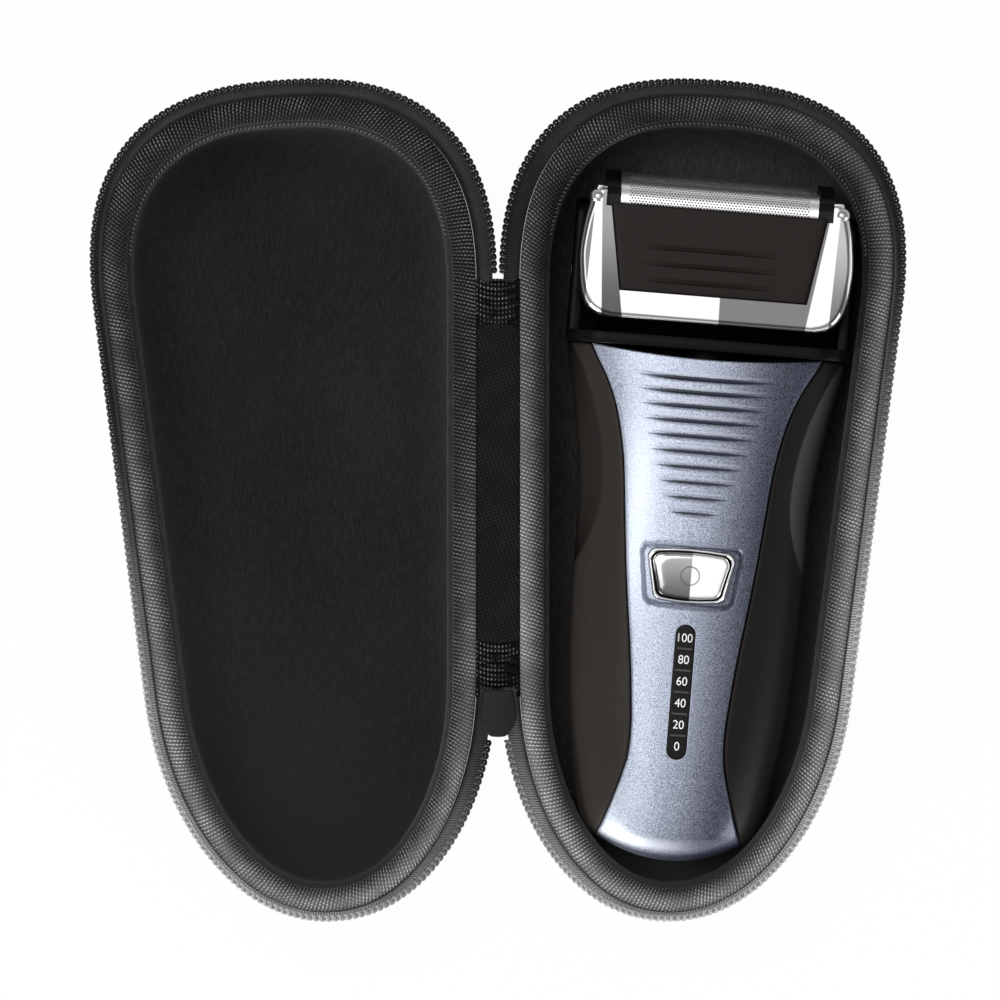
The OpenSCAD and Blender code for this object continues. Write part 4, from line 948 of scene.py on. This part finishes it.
def pull_part():
    """The pull tab, hanging on its pin, with an eye."""
    def outline_of(e):
        pts = [(-2.2 + e, -3.5), (-2.25 + e, -5.5), (-2.75 + e, -14), (-3 + e, -17.5), (-3 + e, -19.6), (-2.6 + e, -20.6 + e),
               (-2, -21 + e), (2, -21 + e), (2.6 - e, -20.6 + e), (3 - e, -19.6), (3 - e, -17.5), (2.75 - e, -14), (2.25 - e, -5.5), (2.2 - e, -3.5),
               (1.6 - e, -3.4 - e), (-1.6 + e, -3.4 - e)]
        return np.array(pts)
    body = plate(outline_of, -0.9, 0.9, 0.35)
    v = body.verts
    dish = np.clip(1 - (np.abs(v[:, 0]) / 1.9) ** 2, 0, 1) * ((v[:, 1] < -6) & (v[:, 1] > -15))
    body.verts = np.stack([v[:, 0], PULL_Y - v[:, 2], PIN_Z + v[:, 1]], -1)
    pin = turned_x([0, PULL_Y, PIN_Z], 0.75, 2.25)
    neck = plate(lambda e: np.array([[-0.85 + e, -4.2], [0.85 - e, -4.2], [0.85 - e, 0.4 - e], [-0.85 + e, 0.4 - e]]), -0.75, 0.75, 0.15)
    n = neck.verts
    neck.verts = np.stack([n[:, 0], PULL_Y - n[:, 2], PIN_Z + n[:, 1]], -1)
    return [body, pin, neck]


t = np.linspace(0, 2 * math.pi, 40, endpoint=False)
eye = loft([[[1.3 * math.cos(k), PULL_Y + y, PIN_Z - 17.4 + 1.3 * math.sin(k)] for k in t] for y in (-3, 3)])
piece("pull_tab", pull_part(), M["zip_metal"], "pull", ["zip_pull"], cutters=[eye])


# ---------------------------------------------------------------- shaver

def in_case(P):
    """Points of the shaver, across, along and up from its back, placed in the case."""
    P = np.asarray(P, float)
    p, q, r = P[..., 0], P[..., 1], P[..., 2]
    return np.stack([39.6 + p * math.cos(SLANT) + q * math.sin(SLANT),
                     -84.8 - p * math.sin(SLANT) + q * math.cos(SLANT), 4.0 + r], -1)


def in_block(P):
    """Points of the foil block: across, out of the head, and to the front."""
    P = np.asarray(P, float)
    x, y, z = P[..., 0], P[..., 1], P[..., 2]
    c, s = math.cos(TILT), math.sin(TILT)
    return in_case(np.stack([x, 150.5 + y * c - z * s, 20.8 + y * s + z * c], -1))


def moved(part, f):
    return Part(f(part.verts), part.faces, part.uv)


HANDLE_W = np.array([[0, 19.4], [4, 21], [10, 22.1], [16, 23], [22, 24], [30, 25.2], [40, 26.3], [50, 26.9],
                     [60, 27.2], [82, 27.3], [92, 28.1], [100, 29.2], [108, 30.6], [116, 32.3], [122, 33.2]])
PANEL_W = np.array([[0, 17.2], [4, 16.4], [8.7, 15.3], [14, 13.8], [20, 12.1], [25, 11.1], [30, 10.9], [40, 11.6],
                    [51, 12.8], [60, 14], [70, 15.2], [82, 16.4], [92, 17.4], [99, 18.6], [106, 20.4], [112, 22.8],
                    [120, 27.2], [124, 28.6]])
HANDLE_H = np.array([[0, 10.5], [1.5, 13], [4, 15], [8, 16.2], [14, 17], [24, 17.5], [60, 17.5], [90, 17],
                     [106, 16.2], [124, 15.6]])


def smooth_table(table):
    """A curve through a table's points that never overshoots them."""
    x, y = table[:, 0].astype(float), table[:, 1].astype(float)
    h, d = np.diff(x), np.diff(y) / np.diff(x)
    m = np.zeros(len(x))
    for k in range(1, len(x) - 1):
        if d[k - 1] * d[k] > 0:
            w1, w2 = 2 * h[k] + h[k - 1], h[k] + 2 * h[k - 1]
            m[k] = (w1 + w2) / (w1 / d[k - 1] + w2 / d[k])
    m[0], m[-1] = d[0], d[-1]

    def f(q):
        q = np.clip(np.asarray(q, float), x[0], x[-1])
        k = np.clip(np.searchsorted(x, q, "right") - 1, 0, len(x) - 2)
        t = (q - x[k]) / h[k]
        return ((2 * t**3 - 3 * t**2 + 1) * y[k] + (t**3 - 2 * t**2 + t) * h[k] * m[k]
                + (3 * t**2 - 2 * t**3) * y[k + 1] + (t**3 - t**2) * h[k] * m[k + 1])
    return f


handle_w, panel_w, handle_h = map(smooth_table, (HANDLE_W, PANEL_W, HANDLE_H))


def bowed(q, p):
    return (q + 0.0161 * np.maximum(0, 1 - q / 16) ** 2 * p * p
            - 2 * np.maximum(0, (q - 100) / 20) ** 2 * np.maximum(0, 1 - (p / 27) ** 2))


def handle_points(q, a, inset):
    """The handle's surface at lengths q and section angles a, in degrees."""
    a = np.radians(a)
    w, h = handle_w(q) - inset, handle_h(q) - inset
    p = np.sign(np.cos(a)) * w * power_of(np.abs(np.cos(a)), 2.5)
    r = MID_R + np.sign(np.sin(a)) * h * power_of(np.abs(np.sin(a)), 2.5)
    return np.stack([p, bowed(q, p), r], -1)


def angle_at(q, p, inset):
    return np.degrees(np.arccos(np.minimum(1, p / (handle_w(q) - inset)) ** 1.25))


def lengths(n, q1=120.0):
    """Lengths along the handle, closer together at its ends."""
    t = np.linspace(0, 1, n)
    return q1 * (t - 0.09 * np.sin(2 * math.pi * t))


def grip(side):
    q = lengths(230)[:, None]
    t = np.linspace(0, 1, 49)[None, :]
    t = t - 0.1 * np.sin(2 * math.pi * t)
    grids = []
    for inset in (0, 1.8):
        a0 = angle_at(q, panel_w(q) + 0.25, inset)
        P = handle_points(q + 0 * t, -22 + (a0 + 22) * t, inset)
        P[..., 0] *= side
        grids.append(P)
    return moved(slab(*grids, roll=0.3), in_case)


def housing():
    q = lengths(230)[:, None]
    a = np.linspace(-23, -157, 81)[None, :]
    return moved(slab(handle_points(q + 0 * a, a + 0 * q, 0), handle_points(q + 0 * a, a + 0 * q, 1.8), roll=0.15), in_case)


def box_part(lo, hi):
    (x0, y0, z0), (x1, y1, z1) = lo, hi
    return loft([[[x0, y0, z], [x1, y0, z], [x1, y1, z], [x0, y1, z]] for z in (z0, z1)])


slot_cut = [moved(box_part((-15.5, 84.5, -5), (15.5, 124.5, 3.4)), in_case),
            moved(box_part((-5.4, 63, -5), (5.4, 90, 3.4)), in_case)]
piece("grip_left", grip(-1), M["grip"], "shaver", ["left_grip"])
piece("grip_right", grip(1), M["grip"], "shaver", ["right_grip"])
piece("back_housing", housing(), M["black"], "shaver", ["rear_housing"], cutters=slot_cut)


def barrel(w, h, n=120):
    """The button's outline, wider at its top, with bowed long sides and round corners."""
    c = 2.2
    pts = []
    for cx, cy, t0, t1 in ((w / 2 - c, h / 2 - c - 0.4, 0, 80), (-w / 2 + c, h / 2 - c - 0.4, 100, 180),
                           (-w / 2 * 0.84 + c, -h / 2 + c + 0.4, 180, 262), (w / 2 * 0.84 - c, -h / 2 + c + 0.4, 278, 360)):
        for t_ in np.radians(np.linspace(t0, t1, 12)):
            pts.append((cx + c * math.cos(t_), cy + c * math.sin(t_)))
        if t1 == 80:
            pts += [(w * 0.2, h / 2 - 0.1), (0, h / 2), (-w * 0.2, h / 2 - 0.1)]
        if t1 == 262:
            pts += [(-w * 0.16, -h / 2 + 0.1), (0, -h / 2), (w * 0.16, -h / 2 + 0.1)]
    pts = np.array(pts + pts[:1])
    t_ = np.concatenate([[0], np.cumsum(np.linalg.norm(np.diff(pts, axis=0), axis=1))])
    f = np.linspace(0, t_[-1], n, endpoint=False)
    return np.stack([np.interp(f, t_, pts[:, 0]), np.interp(f, t_, pts[:, 1])], -1)


def pill(r, length, n=24):
    pts = []
    for s, t0 in ((1, 0), (-1, 180)):
        for t_ in np.radians(np.linspace(t0, t0 + 180, n)):
            pts.append((r * math.cos(t_), s * (length / 2 - r) + r * math.sin(t_)))
    return np.array(pts)


def prism(xy, z0, z1, q=0.0):
    return loft(np.array([np.column_stack([xy + [0, q], np.full(len(xy), z)]) for z in (z0, z1)]))


def barrel_distance(p, q, w, h):
    """Signed distance to the barrel outline, below zero inside it."""
    k = np.clip(0.92 + 0.08 * (q / (h / 2)), 0.84, 1)
    dx, dy = np.abs(p) - (w / 2 * k - 2.4), np.abs(q) - (h / 2 - 2.4 - 0.5 * (p / (w / 2)) ** 2)
    return np.hypot(np.maximum(dx, 0), np.maximum(dy, 0)) + np.minimum(np.maximum(dx, dy), 0) - 2.4


def front_panel():
    """The panel as a fine height field: grip grooves, the button's hollow, and a rolled lip at the bottom, which its
    material lights with a painted highlight.
    """
    q = lengths(400)[:, None]
    q = np.maximum(q, 0.15)
    s = np.linspace(-1, 1, 181)[None, :]
    s = s - 0.05 * -np.sin(2 * math.pi * s) / 2
    p = panel_w(q) * s
    def surface(inset):
        w, h = handle_w(q) - inset, handle_h(q) - inset
        return MID_R + h * np.maximum(0, 1 - (np.abs(p) / w) ** 2.5) ** (1 / 2.5)
    k = np.round((114.4 - q) / 3.6)
    half = np.maximum(4, 17.6 - 0.5 * k - 0.085 * k * k)
    d = (114.4 - q) / 3.6 - k
    ease = np.maximum(0, 1 - (np.abs(p) / half) ** 2) ** 1.2
    groove = np.where((k < 0) | (k > 9), 0, 0.45 * np.exp(-(d / 0.21) ** 2) * ease)
    hollow = barrel_distance(p, q - BUTTON_Q, 25.2, 15.4)
    dip = 2.1 * np.clip(-hollow / 1.1, 0, 1) ** 1.1
    r = surface(0) - groove - dip
    outer = np.stack([p, bowed(q, p), r], -1)
    inner = np.stack([p, bowed(q, p), np.minimum(surface(1.6), r - 0.8)], -1)
    return moved(slab(outer, inner, roll=0.3, v=q[:, 0]), in_case)


panel_cuts = [moved(prism(barrel(20.6, 13.0), 20, 45, BUTTON_Q), in_case),
              moved(prism(pill(2.5, 32.0), 20, 45, GAUGE_Q), in_case)]
piece("pearl_panel", front_panel(), M["panel"], "shaver", ["front_panel"], sharp=50, cutters=panel_cuts)


def bezel():
    """A bright ring with a rounded crown."""
    rings = []
    prof = [(0, 30.0), (0, 33.5), (0.08, 33.72), (0.25, 33.85), (0.45, 33.86), (0.62, 33.74), (0.72, 33.5), (0.75, 33.2), (0.75, 30.0)]
    for e, z in prof:
        w, h = 20.4 - 2 * e, 12.8 - 1.7 * e
        rings.append(np.column_stack([barrel(w, h) + [0, BUTTON_Q], np.full(120, z)]))
    return moved(grid(np.array(rings), close_i=True, close_j=True), in_case)


def button():
    """The button's face, slightly crowned, with the ring of its power sign."""
    rings = [(1.0, 30.8), (1.0, 33.2), (0.985, 33.55), (0.95, 33.75), (0.9, 33.85), (0.8, 33.95), (0.65, 34.02), (0.5, 34.06)]
    out = barrel(18.2, 11.0)
    rows = [np.column_stack([out * s + [0, BUTTON_Q], np.full(120, z)]) for s, z in rings]
    ang = np.arctan2(out[:, 1], out[:, 0])
    for r, z in ((2.6, 34.08), (2.34, 34.08), (2.3, 33.8), (2.0, 33.8), (1.96, 34.08), (1.2, 34.1), (0.3, 34.1)):
        rows.append(np.column_stack([r * np.cos(ang), r * np.sin(ang) + BUTTON_Q, np.full(120, z)]))
    body = loft(np.array(rows))
    stem = loft([[[r * math.cos(k), BUTTON_Q + r * math.sin(k), z] for k in t] for r, z in ((1.4, 28.6), (1.4, 31.2))])
    return moved(joined([body, stem]), in_case)


piece("bezel_ring", bezel(), M["chrome"], "shaver", ["button_bezel"])
piece("button_face", button(), M["button_chrome"], "button", ["power_button"])


def gauge():
    """The charge gauge: a black bar with six sunk cells."""
    top = 34.65
    def outline_of(e):
        return pill(2.4 - e, 31.8 - 2 * e) + [0, GAUGE_Q]
    body = plate(outline_of, 29.2, top, 0.25)
    return moved(body, in_case)


def cell_box(k):
    y = GAUGE_Q + (k - 2.5) * 5.088
    return moved(box_part((-1.75, y - 2.1, 34.35), (1.75, y + 2.1, 36)), in_case)


piece("gauge_bar", gauge(), M["black"], "shaver", ["gauge_window"], cutters=[cell_box(k) for k in range(6)])


def digits():
    """Plain numbers beside the lamps, turned into a thin mesh."""
    parts = []
    for k, word in enumerate(("0", "20", "40", "60", "80", "100")):
        curve = bpy.data.curves.new("number", "FONT")
        curve.body, curve.size, curve.extrude, curve.align_x, curve.align_y = word, 3.0, 0.03, "CENTER", "CENTER"
        obj = bpy.data.objects.new("number", curve)
        bpy.context.scene.collection.objects.link(obj)
        mesh = bpy.data.meshes.new_from_object(obj.evaluated_get(bpy.context.evaluated_depsgraph_get()))
        co = np.array([v.co for v in mesh.vertices], float).reshape(-1, 3)
        mid = (co.max(0) + co.min(0)) / 2
        co = (co - mid) * [0.9, 0.96, 1] + [0, GAUGE_Q + (k - 2.5) * 5.088, 34.36]
        faces = [list(f.vertices) for f in mesh.polygons]
        parts.append(moved(Part(co, faces, np.zeros((sum(map(len, faces)), 2))), in_case))
        bpy.data.objects.remove(obj)
    return parts


bars = [moved(box_part((-1.8, GAUGE_Q + (k - 2) * 5.088 - 0.22, 34.5), (1.8, GAUGE_Q + (k - 2) * 5.088 + 0.22, 34.72)), in_case)
        for k in range(5)]
piece("gauge_bars", bars, plain("gauge_grey", lin(66, 62, 60), 0.5, specular=0.3), "shaver")
edge_rows = [(0.12, 34.2), (0.12, 34.62), (0.2, 34.7), (0.32, 34.62), (0.32, 34.2)]
rim = grid(np.array([np.column_stack([pill(2.72 - e, 32.44 - 2 * e) + [0, GAUGE_Q], np.full(48, z)]) for e, z in edge_rows]),
           close_i=True, close_j=True)
piece("gauge_rim", moved(rim, in_case), plain("gauge_edge", lin(196, 204, 222), 0.3), "shaver")
white = plain("number_white", lin(246, 246, 247), 0.5)
piece("gauge_numbers", digits(), white, "shaver", sharp=30)


# ---------------------------------------------------------------- neck and head

def ring_plate(w, h, c, q0, q1, bore, bevel=0.35, n=96):
    """A plate across the shaver with round corners, rounded edges and a round bore."""
    def rect(e):
        pts = []
        for sx, sy, t0 in ((1, 1, 0), (-1, 1, 90), (-1, -1, 180), (1, -1, 270)):
            for t_ in np.radians(np.linspace(t0, t0 + 90, n // 4)):
                pts.append((sx * (w - c) + (c - e) * math.cos(t_), sy * (h - c) + (c - e) * math.sin(t_)))
        return np.array(pts)
    hole = np.array([(bore * math.cos(k), bore * math.sin(k)) for k in np.arctan2(rect(0)[:, 1], rect(0)[:, 0])])
    rows = [(rect(bevel), q0), (rect(bevel * 0.3), q0 + bevel * 0.3), (rect(0), q0 + bevel), (rect(0), q1 - bevel),
            (rect(bevel * 0.3), q1 - bevel * 0.3), (rect(bevel), q1), (hole, q1), (hole, q0)]
    P = np.array([np.column_stack([xy[:, 0], np.full(len(xy), q), 17.5 + xy[:, 1]]) for xy, q in rows])
    return moved(grid(P, close_i=True, close_j=True), in_case)


def neck_arm(side):
    """One of the two arms that hold the head, its edges rounded."""
    def line(e):
        pts = [(120.3 + e, 24.2 - e), (120.3 + e, 9 + e)]
        pts += [(150 + (4.5 - e) * math.cos(k), 14.5 + (4.5 - e) * math.sin(k)) for k in np.radians(np.linspace(-108, 0, 20))]
        pts += [(150 + (3.8 - e) * math.cos(k), 20 + (3.8 - e) * math.sin(k)) for k in np.radians(np.linspace(0, 92, 20))]
        return pts
    rows = [(30.4, 0.5), (30.55, 0.15), (30.9, 0)]
    rows += [(33.4 - 1.2 + 1.2 * math.sin(k), 1.2 - 1.2 * math.cos(k)) for k in np.radians(np.linspace(0, 78, 8))]
    return moved(loft([[[side * x, q, r] for q, r in line(e)] for x, e in rows]), in_case)


under = moved(box_part((-15.5, 84.5, -5), (15.5, 124.5, 3.4)), in_case)
bore = [moved(loft([[[x, 137 + 2.05 * math.cos(k), 18.5 + 2.05 * math.sin(k)] for k in t] for x in sorted((s_ * 29, s_ * 35))]), in_case)
        for s_ in (-1, 1)]
piece("neck_flange", ring_plate(33.4, 15, 9, 120.1, 122.9, 4.7), M["yoke"], "shaver", ["neck_yoke"], cutters=[under])
piece("neck_arms", [neck_arm(-1), neck_arm(1)], M["yoke"], "shaver", cutters=bore)
piece("neck_collar", ring_plate(8, 8, 7.9, 114.1, 120.3, 4.7), M["yoke"], "shaver")


def neck_bellows():
    """The ribbed rubber skirt between the shaver's shoulder and its head."""
    rings = []
    for k in range(33):
        f = k / 32
        wave = 0.35 * math.cos(2 * math.pi * f * 4)
        w, h, c = 26.6 + wave, 11.4 + wave, 6.0
        pts = []
        for sx, sy, t0 in ((1, 1, 0), (-1, 1, 90), (-1, -1, 180), (1, -1, 270)):
            for t_ in np.radians(np.linspace(t0, t0 + 90, 9)):
                pts.append((sx * (w - c) + c * math.cos(t_), 122.8 + 3.1 * f, 17.5 + sy * (h - c) + c * math.sin(t_)))
        rings.append(pts)
    return moved(loft(rings), in_case)


bellows = piece("neck_bellows", neck_bellows(), M["yoke"], None)
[tuple(float(c) / 1000 for c in in_case([0, q, 17.5])) for q in (123.0, 125.8)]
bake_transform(bellows)

FRAME_INS = np.array([[126, 24.6], [126.6, 26.8], [127.6, 28.6], [129.2, 30], [132, 31.2], [136, 31.9], [141, 32.3],
                      [147, 31.8], [153, 30.6], [157, 29]])


def frame_ring(inset, r, n=60):
    q = np.concatenate([126 + 10 * (1 - np.cos(np.linspace(0, math.pi / 2, n // 2))), np.linspace(136, 157, n // 2 + 1)[1:]])
    half = smooth_table(FRAME_INS)(q)
    x, y = half - inset, 141.5 + (q - 141.5) * (1 - inset / 18)
    return np.concatenate([np.column_stack([x, y, np.full(len(q), r)]),
                           np.column_stack([-x[::-1], y[::-1], np.full(len(q), r)])])


def head_frame():
    """The bright frame of the head, with broad flat bevels."""
    rings = [(0.3, 27.0), (0, 27.3), (0, 34.2), (0.06, 34.8), (0.25, 35.4), (0.6, 36.0), (1.1, 36.4), (1.7, 36.6), (1.8, 36.6)]
    return moved(loft(np.array([frame_ring(e, r) for e, r in rings])), in_case)


def trapezoid(grow, top=153.0, low=132.5, half_top=25.5, half_low=22.0):
    return np.array([[-half_top - grow, top + grow], [half_top + grow, top + grow],
                     [half_low + grow, low - grow], [-half_low - grow, low - grow]])


frame_cuts = [moved(prism(trapezoid(0), 26, 46), in_case),
              moved(box_part((-26.6, 152, 26), (26.6, 172, 46)), in_case),
              moved(box_part((-27.1, -1.7, -20), (27.1, 38.3, 12.4)), in_block)]
piece("bright_frame", head_frame(), M["frame_chrome"], "head", ["head_frame"], sharp=55, cutters=frame_cuts)
piece("corner_pins", [moved(ball((s * 28.6, 154, 35.2), 1.9), in_case) for s in (-1, 1)], M["pin_chrome"], "head")


def face_plate():
    """The face below the foils, with three fine grooves that fade out at their ends."""
    q = np.linspace(132.6, 152.9, 120)[:, None]
    s = np.linspace(-1, 1, 121)[None, :]
    half = 21.9 + (25.4 - 21.9) * (q - 132.6) / 20.3
    p = s * half
    depth = 0
    for k in range(3):
        d = np.abs(q - (143.2 - 3.85 * k)) / 0.55
        depth = depth + 0.45 * np.clip(1 - d * d, 0, 1) * np.clip(1.6 - np.abs(p + 1 - 0.4 * k) / 10.5, 0, 1)
    top = 36.1 - depth + 0 * p
    outer = np.stack([p, q + 0 * p, top], -1)
    inner = np.stack([p, q + 0 * p, 34.3 + 0 * p], -1)
    return moved(slab(outer, inner, roll=0.15), in_case)


piece("face_plate", face_plate(), M["face"], "head", ["head_face"])


def foil(side):
    """One bent foil: a half round with straight legs, open below."""
    n = 48
    prof = []
    for k in np.linspace(0, 1, 7)[:-1]:
        prof.append((-4.6, 0.3 + 4.6 * k))
    for k in np.linspace(math.pi, 0, 33):
        prof.append((4.6 * math.cos(k), 4.9 + 4.6 * math.sin(k)))
    for k in np.linspace(1, 0, 7)[1:]:
        prof.append((4.6, 0.3 + 4.6 * k))
    outer = np.array(prof)
    inner = outer * [(4.25) / 4.6, 1] + [0, 0]
    inner[:, 1] = np.where(outer[:, 1] > 4.9, 4.9 + (outer[:, 1] - 4.9) * 4.25 / 4.6, outer[:, 1])
    xs = np.linspace(-23.2, 23.2, n)
    def surf(pr):
        return np.array([[[x, y, side * 6.3 + z] for z, y in pr] for x in xs])
    return moved(slab(surf(outer), surf(inner)), in_block)


for name, side, node, body in (("foil_sheet_front", 1, "foil_front", "front_foil"), ("foil_sheet_rear", -1, "foil_rear", "rear_foil")):
    piece(name, foil(side), M["foil"], body, [node])


REST = {
    "end_cap": ("black", "black_plastic"), "charge_socket": ("black", "black_plastic"), "switch": ("black", "black_plastic"),
    "circuit_board": ("board", "board"), "battery_cells": ("copper", "cells"), "chassis": ("inner", "inner_plastic"),
    "board_screws": ("steel", "steel"), "motor": ("steel", "steel"), "motor_cam": ("drive", "inner_plastic"),
    "pivot_pins": ("steel", "steel"), "head_core": ("black", "black_plastic"),
    "foil_cassette": ("black", "black_plastic"), "cutter_front": ("steel", "steel"), "cutter_rear": ("steel", "steel"),
    "centre_trimmer": ("steel", "steel"), "drive_bridge": ("drive", "inner_plastic"), "hair_trimmer": ("steel", "steel"),
    "trimmer_slide": ("black", "black_plastic"),
}
for name, (key, slot_name) in REST.items():
    node = NODES[name]
    node.data.materials.clear()
    node.data.materials.append(M[key])


# ---------------------------------------------------------------- floor, light and camera

def floor_material():
    g = Graph("paper_floor")
    emit = g.nodes.new("ShaderNodeEmission")
    emit.inputs["Color"].default_value = (1, 1, 1, 1)
    emit.inputs["Strength"].default_value = 1.0
    g.done(lin(240, 240, 240), 0.9, 0, None, 0.0)
    ray = g.nodes.new("ShaderNodeLightPath")
    lit = g.nodes.new("ShaderNodeMixShader")
    f = g.math("MULTIPLY", g.math("MAXIMUM", ray.outputs["Is Camera Ray"], g.math("MAXIMUM", ray.outputs["Is Glossy Ray"], ray.outputs["Is Transmission Ray"])), 0.97)
    g.put(lit.inputs[0], f)
    g.links.new(g.bsdf.outputs[0], lit.inputs[1])
    g.links.new(emit.outputs[0], lit.inputs[2])
    g.links.new(lit.outputs[0], g.nodes["Material Output"].inputs[0])
    return g.mat


floor_mesh = bpy.data.meshes.new("floor")
floor_mesh.from_pydata([(-3, -3, 0), (3, -3, 0), (3, 3, 0), (-3, 3, 0)], [], [(0, 1, 2, 3)])
floor = bpy.data.objects.new("floor", floor_mesh)
floor.location.z = -0.0002
bpy.context.scene.collection.objects.link(floor)
floor_mesh.materials.append(floor_material())


def lamp(name, at_, look, size, power, tint=(1, 1, 1), size_y=None):
    data = bpy.data.lights.new(name, "AREA")
    data.energy, data.color, data.shape = power, tint, "RECTANGLE"
    data.size, data.size_y = size, size_y or size
    obj = bpy.data.objects.new(name, data)
    obj.location = at_
    d = np.array(look, float) - np.array(at_, float)
    from mathutils import Vector
    obj.rotation_euler = Vector(d).to_track_quat("-Z", "Y").to_euler()
    bpy.context.scene.collection.objects.link(obj)
    return obj


lamp("low_left", (-0.7, -0.85, 0.34), (-0.03, -0.05, 0.02), 0.5, 11)
lamp("low_right", (0.9, -0.6, 0.3), (0.05, -0.03, 0.02), 0.45, 5, size_y=0.7)
lamp("overhead", (-0.35, 0.25, 1.3), (0, 0, 0), 0.7, 5)


def studio_world():
    """An even light for matt surfaces, and a tent with darker sides for the bright ones to mirror."""
    world = bpy.data.worlds.new("studio")
    bpy.context.scene.world = world
    world.use_nodes = True
    tree = world.node_tree
    nodes, links = tree.nodes, tree.links
    back = nodes["Background"]
    coord = nodes.new("ShaderNodeTexCoord")
    axes = nodes.new("ShaderNodeSeparateXYZ")
    links.new(coord.outputs["Generated"], axes.inputs[0])
    ramp = nodes.new("ShaderNodeValToRGB")
    ramp.color_ramp.elements[0].position, ramp.color_ramp.elements[0].color = 0.0, (0.5, 0.5, 0.5, 1)
    ramp.color_ramp.elements[1].position, ramp.color_ramp.elements[1].color = 0.97, (1.05, 1.05, 1.05, 1)
    for place, level in ((0.25, 0.75), (0.5, 0.16), (0.8, 0.3), (0.9, 0.8)):
        e = ramp.color_ramp.elements.new(place)
        e.color = (level, level, level, 1)
    links.new(axes.outputs["Z"], ramp.inputs[0])
    ray = nodes.new("ShaderNodeLightPath")
    mix = nodes.new("ShaderNodeMix")
    mix.data_type = "RGBA"
    mix.inputs[6].default_value = (0.5, 0.5, 0.5, 1)
    links.new(ray.outputs["Is Glossy Ray"], mix.inputs[0])
    links.new(ramp.outputs[0], mix.inputs[7])
    links.new(mix.outputs[2], back.inputs["Color"])
    back.inputs["Strength"].default_value = 1.0


studio_world()

cam_data = bpy.data.cameras.new("camera")
cam_data.lens = 230.2
cam_data.sensor_width = 36
cam_data.clip_start, cam_data.clip_end = 0.1, 20
cam = bpy.data.objects.new("camera", cam_data)
cam.location = (0.00047, 0, 0.034 + 1.5)
bpy.context.scene.collection.objects.link(cam)
bpy.context.scene.camera = cam
bpy.context.scene.view_settings.view_transform = "Standard"
